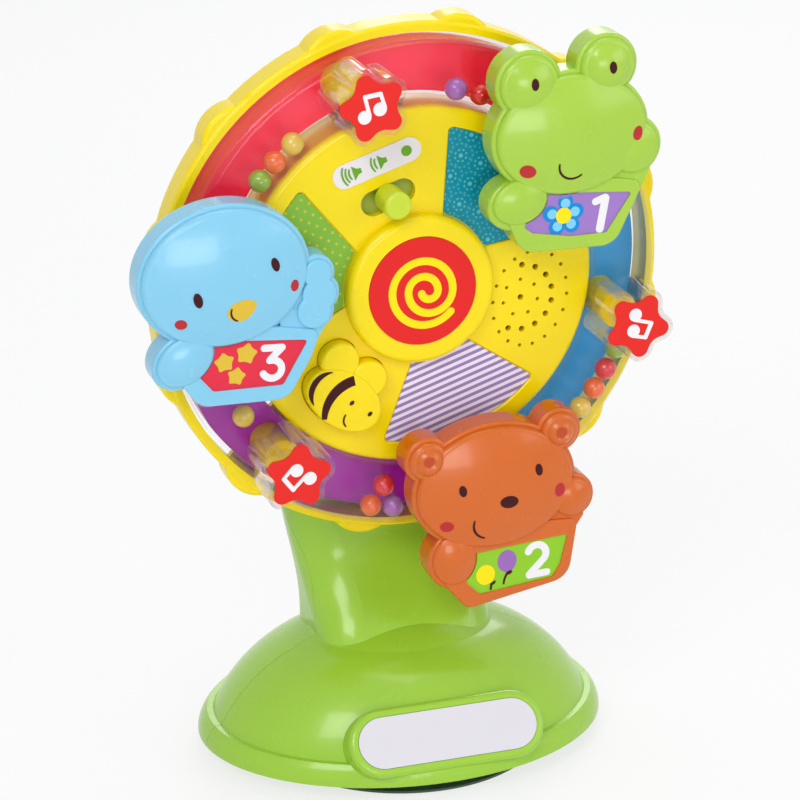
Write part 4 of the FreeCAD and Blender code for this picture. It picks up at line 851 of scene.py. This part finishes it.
class Workshop:
    """Gives the toy's pieces their finishes and makes the prints on them."""

    def __init__(self, frame: dict[str, Any]) -> None:
        """Keeps the frame's nodes, and has no material yet."""
        self.nodes = frame["nodes"]
        self.materials: dict[str, bpy.types.Material] = {}

    def material(self, finish: Finish) -> bpy.types.Material:
        """The finish's one material.

        Args:
            finish: The finish.

        Returns:
            Its material, made when it is first asked for.
        """
        if finish.name not in self.materials:
            self.materials[finish.name] = finish.make()
        return self.materials[finish.name]

    def dress(self, finish: Finish, *names: str) -> None:
        """Gives nodes of the frame their finish.

        Args:
            finish: The finish.
            names: The nodes.
        """
        for name in names:
            data = self.nodes[name].data
            data.materials.clear()
            data.materials.append(self.material(finish))
            LOG.info("%s dressed in %s", name, finish.name)

    def surface(self, names: Iterable[str]) -> BVHTree:
        """Search tree over some of the frame's nodes.

        Args:
            names: The nodes.

        Returns:
            The tree, in metres.
        """
        points: list[Vector] = []
        faces: list[tuple[int, ...]] = []
        for name in names:
            mesh = self.nodes[name].data
            base = len(points)
            points.extend(vert.co.copy() for vert in mesh.vertices)
            faces.extend(tuple(base + index for index in face.vertices) for face in mesh.polygons)
        return BVHTree.FromPolygons(points, faces)

    def stamp(self, layer: Layer, sheet: Sheet, body: str, slot: str, *names: str) -> None:
        """Prints one layer on nodes and makes it a piece of the toy.

        Args:
            layer: The layer, which also names the piece.
            sheet: Where it goes on.
            body: The moving body that it belongs to.
            slot: The record's material slot; not used.
            names: The nodes.
        """
        mesh = sheet.lay(layer, self.surface(names))
        data = bpy.data.meshes.new(layer.name)
        mesh.to_mesh(data)
        mesh.free()
        made = bpy.data.objects.new(layer.name, data)
        bpy.context.scene.collection.objects.link(made)
        data.materials.append(self.material(layer.finish))
        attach(made, body)
        LOG.info("%s rides on %s", layer.name, body)

    def cross(self, name: str, places: Sequence[Place], body: str, *names: str) -> None:
        """Lays dark crosses on screws that are driven from behind, painted shade of their cross recesses.

        Args:
            name: Name of the piece.
            places: Middles of the screws, mm.
            body: The moving body that they belong to.
            names: The nodes that hold the screws.
        """
        long, short = CROSS_LENGTH / 2, CROSS_WIDTH / 2
        marks = []
        for x, z in places:
            for across, up in ((long, short), (short, long)):
                left, right, low, high = x - across, x + across, z - up, z + up
                corners = [(left, low), (right, low), (right, high), (left, high)]
                marks.append(Outline(corners, CROSS_WIDTH * CROSS_ROUNDING))
        # painted shade: the crosses are dark sheets, nothing is cut into the screws
        self.stamp(Layer(name, SLOT_SHADE, marks), CROSS_SHEET, body, "steel", *names)


# ---- stand ----
@dataclass
class Stand:
    """Stand with its suction cup, blank label and bearings."""

    screw_places: Sequence[Place] = ((-21.0, 112.0), (21.0, 112.0), (-21.0, 150.0), (21.0, 150.0))

    def build(self, shop: Workshop) -> None:
        """Dresses the stand and lays the painted shade of its screws' cross recesses.

        Args:
            shop: The workshop.
        """
        shop.dress(GREEN, "stand_front_shell", "stand_rear_shell", "base_plate")
        shop.dress(Rubber("cup rubber", srgb(58, 84, 70)), "suction_cup")
        shop.dress(WHITE, "cup_clamp", "front_bush", "rear_bush", "thrust_washer")
        shop.dress(Moulding("blank label", srgb(222, 219, 226), 0.4, 0.1, 0.98), "label_plate")
        shop.dress(STEEL, "base_screws", "stand_screws")
        shop.cross("stand_screw_cross_shade", self.screw_places, "stand", "stand_screws")


# ---- wheel ----
@dataclass
class Drum:
    """Wheel mouldings with their axle and the screws that hold them."""

    screw_circle: float = 57.6
    screw_angles: Sequence[float] = (0.0, 60.0, 120.0, 180.0, 240.0, 300.0)

    def build(self, shop: Workshop) -> None:
        """Dresses the drum and lays the painted shade of its screws' cross recesses.

        Args:
            shop: The workshop.
        """
        shop.dress(YELLOW, "wheel_rear_shell", "wheel_face", "battery_cover")
        shop.dress(STEEL, "star_screws", "wheel_screws", "battery_cover_screw", "axle")
        shop.dress(SPRING, "axle_clip")
        shop.dress(WHITE, "animal_pins")
        places = [on_wheel(self.screw_circle, angle) for angle in self.screw_angles]
        places += [on_wheel(PIN_CIRCLE, angle) for angle in STAR_ANGLES.values()]
        shop.cross("wheel_screw_cross_shade", places, "wheel", "wheel_screws", "star_screws")


@dataclass
class BeadTube:
    """Clear ring-shaped tube, its coloured backings and the loose beads."""

    backings: Sequence[tuple[str, Color]] = (
        ("red", srgb(240, 22, 62)), ("blue", srgb(0, 140, 205)), ("purple", srgb(158, 18, 158)))
    beads: Sequence[tuple[str, Color]] = (
        ("green", srgb(150, 182, 36)), ("orange", srgb(248, 104, 14)), ("yellow", srgb(236, 200, 70)),
        ("purple", srgb(170, 96, 184)), ("red", srgb(228, 20, 34)))
    # painted light: emission strength that brightens the backings in their shaded channel
    painted_tube_glow: float = 0.25

    def build(self, shop: Workshop) -> None:
        """Dresses the tube; the backings get a faint emission glow, painted light that stands in for the
        light a clear tube passes on to them and brightens their shaded channel.

        Args:
            shop: The workshop.
        """
        shop.dress(CLEAR, "tube_cover", "tube_rear")
        for name, color in self.backings:
            backing = Moulding(name + " backing", color, 0.32, 0.2, 0.94, painted_glow=self.painted_tube_glow)
            shop.dress(backing, "tube_backing_" + name)
        for name, color in self.beads:
            shop.dress(Moulding(name + " bead", color, 0.16, 0.6, 0.85, 0.25), name + "_beads")


@dataclass
class Face:
    """Printed panels of the face, the swirl, and the volume slide with its label."""

    panels: Sequence[tuple[str, Print]] = (
        ("teal_panel", Print("teal print", srgb(0, 142, 168), ink=srgb(104, 202, 214), motif=Motif.ROSETTES,
                             pitch=(11.5, 10.9), size=0.75)),
        ("stripe_panel", Print("striped print", srgb(238, 230, 246), depth=0.98, ink=srgb(126, 94, 170),
                               motif=Motif.STRIPES, pitch=(1.0, 2.45), size=0.6)),
        ("dot_panel", Print("dotted print", srgb(134, 186, 62), ink=srgb(212, 206, 70), motif=Motif.DOTS,
                            pitch=(4.4, 4.4), size=0.48)))
    swirl: Stroke = Stroke(10.2, -8.4, -132.3, 2.75, (
        (12.2, -137.7), (10.95, -180.0), (8.05, -180.0), (5.35, -180.0), (3.0, -165.0)))
    label_circle: float = 48.1
    label_angle: float = 90.0
    off_dot: Oval = dot(11.0, 0.0, 1.9)
    speakers: Sequence[tuple[float, int]] = ((1.6, 2), (-7.9, 3))
    horn: Sequence[Place] = ((2.0, -0.9), (2.0, 0.9), (0.7, 1.0), (-1.1, 2.7), (-1.1, -2.7), (0.7, -1.0))
    horn_rounding: float = 0.25
    wave_centre: float = 0.9
    wave_radius: float = 3.4
    wave_gap: float = 1.25
    wave_spread: float = 34.0
    wave_widths: tuple[float, float, float] = (0.55, 0.7, 0.55)

    def build(self, shop: Workshop) -> None:
        """Dresses the face fittings and prints them.

        Args:
            shop: The workshop.
        """
        for name, panel in self.panels:
            shop.dress(panel, name)
        shop.dress(ink("swirl ground", 228, 36, 34), "swirl_disc")
        shop.dress(ink("label ground", 236, 230, 234), "switch_label")
        shop.dress(LIME, "volume_knob")
        shop.dress(Moulding("slot lime", srgb(160, 178, 42), 0.35, 0.15), "slider_carrier")
        swirl = Layer("swirl_print", YELLOW_INK, [self.swirl])
        shop.stamp(swirl, Sheet((0.0, AXLE_HEIGHT)), "wheel", "red_print", "swirl_disc")
        signs = [mark for x, waves in self.speakers for mark in self.speaker(x, waves)]
        icons = Layer("switch_icons", GREEN_INK, [self.off_dot, *signs])
        label = Sheet(on_wheel(self.label_circle, self.label_angle), WHEEL_TURN)
        shop.stamp(icons, label, "wheel", "white_print", "switch_label")

    def speaker(self, x: float, waves: int) -> list[Mark]:
        """Speaker sign that sounds to the left.

        Args:
            x: Middle of the horn, mm.
            waves: Number of wave arcs.

        Returns:
            The marks.
        """
        marks: list[Mark] = [Outline([(x + across, up) for across, up in self.horn], self.horn_rounding)]
        spread = math.radians(self.wave_spread)
        for k in range(waves):
            radius = self.wave_radius + self.wave_gap * k
            end_x, end_z = x + self.wave_centre - radius * math.cos(spread), radius * math.sin(spread)
            bulge = -(radius - radius * math.cos(spread))
            marks.append(Arc((end_x, end_z), (end_x, -end_z), bulge, self.wave_widths))
        return marks


NOTE_STEM = 1.3
NOTE_BEAM = 1.625


@dataclass
class StarCovers:
    """Clear stars on the tube, each with a note on its sticker."""

    note: Sequence[Mark] = (
        dot(-3.7, -1.9, 2.35), dot(2.1, -1.3, 2.35), Stroke(-1.9, -1.8, 86.5, NOTE_STEM, ((6.6,),)),
        Stroke(3.9, -1.2, 90.0, NOTE_STEM, ((4.8,),)), Stroke(-1.4, 4.6, -10.5, NOTE_BEAM, ((5.3,),)))

    def build(self, shop: Workshop) -> None:
        """Dresses the stars and prints their notes.

        Args:
            shop: The workshop.
        """
        shop.dress(ink("star ground", 230, 40, 34), "star_stickers")
        for name, angle in STAR_ANGLES.items():
            shop.dress(STAR_CLEAR, "star_body_" + name)
            sheet = Sheet(on_wheel(PIN_CIRCLE, angle), angle - 90.0 + WHEEL_TURN)
            note = Layer("note_" + name, WHITE_INK, self.note)
            shop.stamp(note, sheet, "wheel", "star_print", "star_stickers")


@dataclass
class Works:
    """Sound unit and power, behind the face."""

    def build(self, shop: Workshop) -> None:
        """Dresses the hidden parts.

        Args:
            shop: The workshop.
        """
        shop.dress(WHITE, "battery_tray")
        shop.dress(SPRING, "battery_contacts")
        shop.dress(STEEL, "spin_switch")
        shop.dress(Brushed("cell jacket", (0.25, 0.26, 0.30), 0.3), "batteries")
        shop.dress(Rubber("key rubber", srgb(208, 208, 202)), "bee_dome")
        shop.dress(Moulding("board green", srgb(38, 108, 58), 0.4, 0.3), "circuit_board")
        shop.dress(Moulding("speaker black", srgb(30, 28, 30), 0.5, 0.05), "speaker_driver")


@dataclass
class Bee:
    """Bee on the press button: two stripes, two eyes and a mouth."""

    marks: Sequence[Mark] = (
        Arc((-38.9, -14.4), (-49.0, -22.9), -3.8, (0.25, 2.2, 0.25)),
        Arc((-32.7, -20.5), (-47.2, -29.5), -3.1, (3.6, 3.4, 1.8)),
        Oval(-36.2, -27.9, 1.0, 0.68, 24.0), Oval(-31.5, -34.5, 1.0, 0.68, 24.0),
        Arc((-39.5, -31.0), (-40.9, -35.3), -0.9, (0.5, 0.65, 0.5)))
    dome_pitch: float = 0.4

    def build(self, shop: Workshop) -> None:
        """Dresses and prints the bee.

        Args:
            shop: The workshop.
        """
        shop.dress(YELLOW, "bee_button")
        sheet = Sheet((0.0, AXLE_HEIGHT), WHEEL_TURN, self.dome_pitch)
        shop.stamp(Layer("bee_print", DARK_INK, self.marks), sheet, "bee", "bee_plastic", "bee_button")


# ---- animals ----
@dataclass
class Animal:
    """A swinging figure: its place on the wheel, its plastics, and the prints on its face and its sign."""

    name: str
    angle: float
    skin: Moulding
    sign: Moulding
    face: Sequence[Layer]
    picture: Sequence[Layer]
    dome_pitch: float = 0.9

    def build(self, shop: Workshop) -> None:
        """Dresses the figure, and prints its face and its sign.

        Args:
            shop: The workshop.
        """
        front, plate = self.name + "_front_shell", self.name + "_sign"
        shop.dress(self.skin, self.name + "_rear_shell", front)
        shop.dress(self.sign, plate)
        pin = on_wheel(PIN_CIRCLE, self.angle)
        for layer in self.face:
            shop.stamp(layer, Sheet(pin, cut_pitch=self.dome_pitch), self.name, self.name + "_plastic", front)
        for layer in self.picture:
            shop.stamp(layer, Sheet(pin), self.name, self.name + "_sign_print", plate)


@dataclass(frozen=True)
class Flower:
    """Flower with round petals that are paler inside."""

    x: float = -4.8
    z: float = -28.9
    angles: Sequence[float] = (81.0, 14.0, -49.0, -121.0, 168.0)
    reach: float = 4.75
    petal: float = 2.85
    pale: float = 1.75
    pale_share: float = 0.9
    eye: float = 2.85

    def petals(self, radius: float, share: float) -> list[Mark]:
        """Round petals about the middle.

        Args:
            radius: Radius of a petal, mm.
            share: Their distance from the middle, as a share of the flower's reach.

        Returns:
            The marks.
        """
        ring = self.reach * share
        turns = [math.radians(angle) for angle in self.angles]
        return [dot(self.x + ring * math.cos(turn), self.z + ring * math.sin(turn), radius) for turn in turns]

    def layers(self) -> tuple[Layer, ...]:
        """The flower's inks.

        Returns:
            Rims of the petals, their pale insides, and the eye.
        """
        return (Layer("frog_flower_rim", BLUE_INK, self.petals(self.petal, 1.0)),
                Layer("frog_flower_petals", PALE_BLUE_INK, self.petals(self.pale, self.pale_share), 0.16),
                Layer("frog_flower_eye", YELLOW_INK, [dot(self.x, self.z, self.eye)], 0.34))


FROG = Animal(
    "frog", 30.0, FROG_GREEN, ink("frog sign ground", 160, 122, 196),
    face=(
        Layer("frog_cheek_print", CHEEK_INK, [
            Oval(-19.0, -11.3, 2.9, 2.35, -20.0), Oval(20.9, -1.6, 1.85, 2.5, -14.0)]),
        Layer("frog_face_print", DARK_INK, [
            Oval(-17.2, 19.0, 1.35, 2.1, 3.0), Oval(10.7, 22.5, 1.35, 2.15, 6.0),
            Arc((-8.2, -9.1), (0.2, -13.7), -3.45, (0.6, 0.8, 0.6))])),
    picture=(
        *Flower().layers(),
        Layer("frog_number", WHITE_INK, [
            Stroke(6.9, -25.2, 19.0, 2.6, ((3.7,),)), Stroke(10.5, -24.3, -99.8, 2.9, ((10.9,),))])))

BEAR = Animal(
    "bear", 270.0, BEAR_ORANGE, ink("bear sign ground", 144, 202, 44),
    face=(
        Layer("bear_cheek_print", CHEEK_INK, [
            Oval(-20.1, -9.9, 2.5, 2.0, -15.0), Oval(21.8, -1.5, 2.0, 2.6)]),
        Layer("bear_face_print", DARK_INK, [
            Oval(-15.0, 3.5, 1.4, 2.1, 10.0), Oval(13.2, 7.8, 1.4, 2.2, 12.0),
            Arc((-10.4, -8.3), (-6.1, -15.9), -1.9, (0.6, 0.85, 0.6)), Oval(1.9, -2.4, 3.4, 2.3, -3.0)]),
        # painted shade in the centre of each ear's dimple
        Layer("bear_ear_dimple_shade", EAR_DIMPLE_SHADE, [dot(-26.9, 15.4, 2.0), dot(21.8, 20.1, 2.0)])),
    picture=(
        Layer("bear_yellow_balloon", YELLOW_INK, [Oval(-4.7, -31.3, 3.5, 3.8)]),
        Layer("bear_purple_balloon", PURPLE_INK, [Oval(3.3, -27.1, 3.6, 4.2)]),
        Layer("bear_balloon_strings", DARK_INK, [
            Oval(4.1, -31.6, 1.3, 0.75, 20.0), Arc((3.2, -32.2), (2.1, -35.9), -0.25, (0.9, 0.8, 0.7)),
            Arc((-1.3, -34.0), (-2.7, -35.0), 0.45, (0.9, 1.0, 0.9)),
            Arc((-2.6, -34.8), (-2.8, -37.3), 0.1, (0.9, 0.8, 0.8))]),
        Layer("bear_number", WHITE_INK, [
            Stroke(11.3, -24.7, 70.0, 2.7, ((3.4, -204.5), (7.4,))),
            Stroke(11.8, -33.7, 3.0, 2.7, ((6.5,),))])))

BIRD = Animal(
    "bird", 150.0, BIRD_BLUE, ink("bird sign ground", 226, 48, 70),
    face=(
        Layer("bird_beak_print", SAND_INK, [Outline((
            (-1.9, -8.4), (0.0, -5.8), (2.6, -4.7), (6.1, -4.6), (8.8, -6.1), (7.8, -9.1), (6.2, -11.2),
            (3.0, -12.6), (0.3, -11.9), (-1.5, -10.2)), 0.8)]),
        Layer("bird_cheek_print", CHEEK_INK, [
            Oval(22.4, -2.4, 1.5, 2.1), Oval(-17.1, -11.6, 2.1, 1.8, -20.0)]),
        Layer("bird_face_print", DARK_INK, [
            Oval(15.3, 6.2, 1.4, 2.5, 18.0), Oval(-11.6, -3.2, 1.5, 2.7, 14.0),
            Arc((-0.1, -7.3), (2.1, -12.0), -1.2, (0.5, 0.65, 0.5))], 0.12)),
    picture=(
        Layer("bird_stars", SAND_INK, [
            Star(-1.7, -27.7, 4.1, 98.0), Star(6.0, -25.4, 4.4, 77.0), Star(2.3, -33.0, 3.8, 77.0)]),
        Layer("bird_number", WHITE_INK, [
            Stroke(12.2, -24.2, -3.0, 2.5, ((6.2,),)), Stroke(18.2, -24.7, -137.0, 2.5, ((5.6,),)),
            Stroke(14.0, -28.7, 0.0, 2.5, ((0.9,), (3.2, -190.0), (3.9, -50.0)))])))


# ---- studio ----
PLAIN_WHITE = (1.0, 1.0, 1.0)


@dataclass
class Studio:
    """Camera, lamps, floor and world."""

    azimuth: float = -18.98
    elevation: float = 20.87
    distance: float = 1151.5
    focal_pixels: float = 3350.0
    picture: float = 800.0
    sensor: float = 36.0
    aim: tuple[float, float, float] = (0.0, -18.5, AXLE_HEIGHT)
    aim_pixel: tuple[float, float] = (417.3, 285.9)
    lamps: Sequence[tuple[str, tuple[float, float, float], float, float]] = (
        ("key", (-0.75, -1.0, 1.15), 0.8, 8.8),
        ("front", (-0.1, -1.3, 0.26), 0.5, 2.7),
        ("fill", (1.0, -0.9, 0.6), 0.9, 3.2),
        ("top", (0.1, 0.1, 1.4), 0.9, 3.8),
        ("back", (0.6, 1.1, 0.9), 0.8, 5.0),
    )
    lamp_target: tuple[float, float, float] = (0.0, 0.0, 0.14)
    lamp_shape: float = 0.7
    view_reach: float = 50.0
    world_color: Color = (0.92, 0.95, 1.0)
    world_strength: float = 0.42
    floor_color: Color = (0.9, 0.9, 0.9)
    floor_roughness: float = 0.7
    floor_white: float = 0.74
    floor_reach: float = 3.0

    def camera(self) -> None:
        """Places the camera."""
        turn = math.radians(self.azimuth)
        tilt = math.radians(self.elevation)
        back = Vector((math.sin(turn) * math.cos(tilt), -math.cos(turn) * math.cos(tilt), math.sin(tilt)))
        right = Vector((math.cos(turn), math.sin(turn), 0.0))
        up = back.cross(right)
        per_pixel = self.distance / self.focal_pixels
        across = (self.aim_pixel[0] - self.picture / 2) * per_pixel
        above = (self.picture / 2 - self.aim_pixel[1]) * per_pixel
        spot = Vector(self.aim) - right * across - up * above + back * self.distance
        data = bpy.data.cameras.new("camera")
        data.sensor_width = self.sensor
        data.lens = self.focal_pixels / self.picture * self.sensor
        data.clip_end = self.view_reach
        facing = Matrix((right, up, back)).transposed().to_4x4()
        bpy.context.scene.camera = self.place("camera", data, Matrix.Translation(spot * MM) @ facing)

    @staticmethod
    def place(name: str, data: Any, matrix: Optional[Matrix] = None) -> bpy.types.Object:
        """Puts an object in the scene.

        Args:
            name: Its name.
            data: Its camera, lamp or mesh.
            matrix: Where it stands, or nothing for the origin.

        Returns:
            The object.
        """
        made = bpy.data.objects.new(name, data)
        bpy.context.scene.collection.objects.link(made)
        if matrix is not None:
            made.matrix_world = matrix
        return made

    def lamp(self, name: str, spot: Sequence[float], size: float, power: float) -> None:
        """Adds a soft lamp that points at the toy.

        Args:
            name: Name of the lamp.
            spot: Where it stands, m.
            size: Width of the lamp, m.
            power: Watts.
        """
        data = bpy.data.lights.new(name, "AREA")
        data.shape = "RECTANGLE"
        data.size = size
        data.size_y = size * self.lamp_shape
        data.energy = power
        aim = Vector(self.lamp_target) - Vector(spot)
        turned = aim.to_track_quat("-Z", "Y").to_matrix().to_4x4()
        self.place(name, data, Matrix.Translation(Vector(spot)) @ turned)

    def floor(self) -> None:
        """Pale floor that keeps the toy's shadow."""
        mesh = bmesh.new()
        bmesh.ops.create_grid(mesh, x_segments=2, y_segments=2, size=self.floor_reach)
        data = bpy.data.meshes.new("floor")
        mesh.to_mesh(data)
        mesh.free()
        paint = Paint("floor")
        matt = paint.principled(Base_Color=self.floor_color, Roughness=self.floor_roughness)
        white = paint.node("Emission", {"Color": PLAIN_WHITE, "Strength": 1.0}).outputs[0]
        share = paint.backdrop_share() * self.floor_white
        data.materials.append(paint.close(paint.blend(share, matt, white)))
        self.place("floor", data)

    def world(self) -> None:
        """Even pale surroundings, plain white behind the toy."""
        paint = Paint("surroundings", True)
        soft, white = (paint.node("Background", {"Color": color, "Strength": strength}).outputs[0]
                       for color, strength in ((self.world_color, self.world_strength), (PLAIN_WHITE, 1.0)))
        bpy.context.scene.world = paint.close(paint.blend(paint.backdrop_share(), soft, white))

    def build(self, shop: Workshop) -> None:
        """Sets up everything around the toy.

        Args:
            shop: The workshop.
        """
        self.camera()
        self.floor()
        self.world()
        for lamp in self.lamps:
            self.lamp(*lamp)
        bpy.context.scene.view_settings.view_transform = "Standard"
        LOG.info("studio with %d lamps round %d nodes", len(self.lamps), len(shop.nodes))


def main() -> None:
    """Builds the toy's looks and the studio."""
    logging.basicConfig(level=logging.INFO, format="%(name)s: %(message)s")
    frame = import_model()
    shop = Workshop(frame)
    toy = (Stand(), Drum(), BeadTube(), Face(), StarCovers(), Works(), Bee(), FROG, BEAR, BIRD)
    for assembly in (Studio(), *toy):
        assembly.build(shop)


if __name__ == "__main__":
    main()
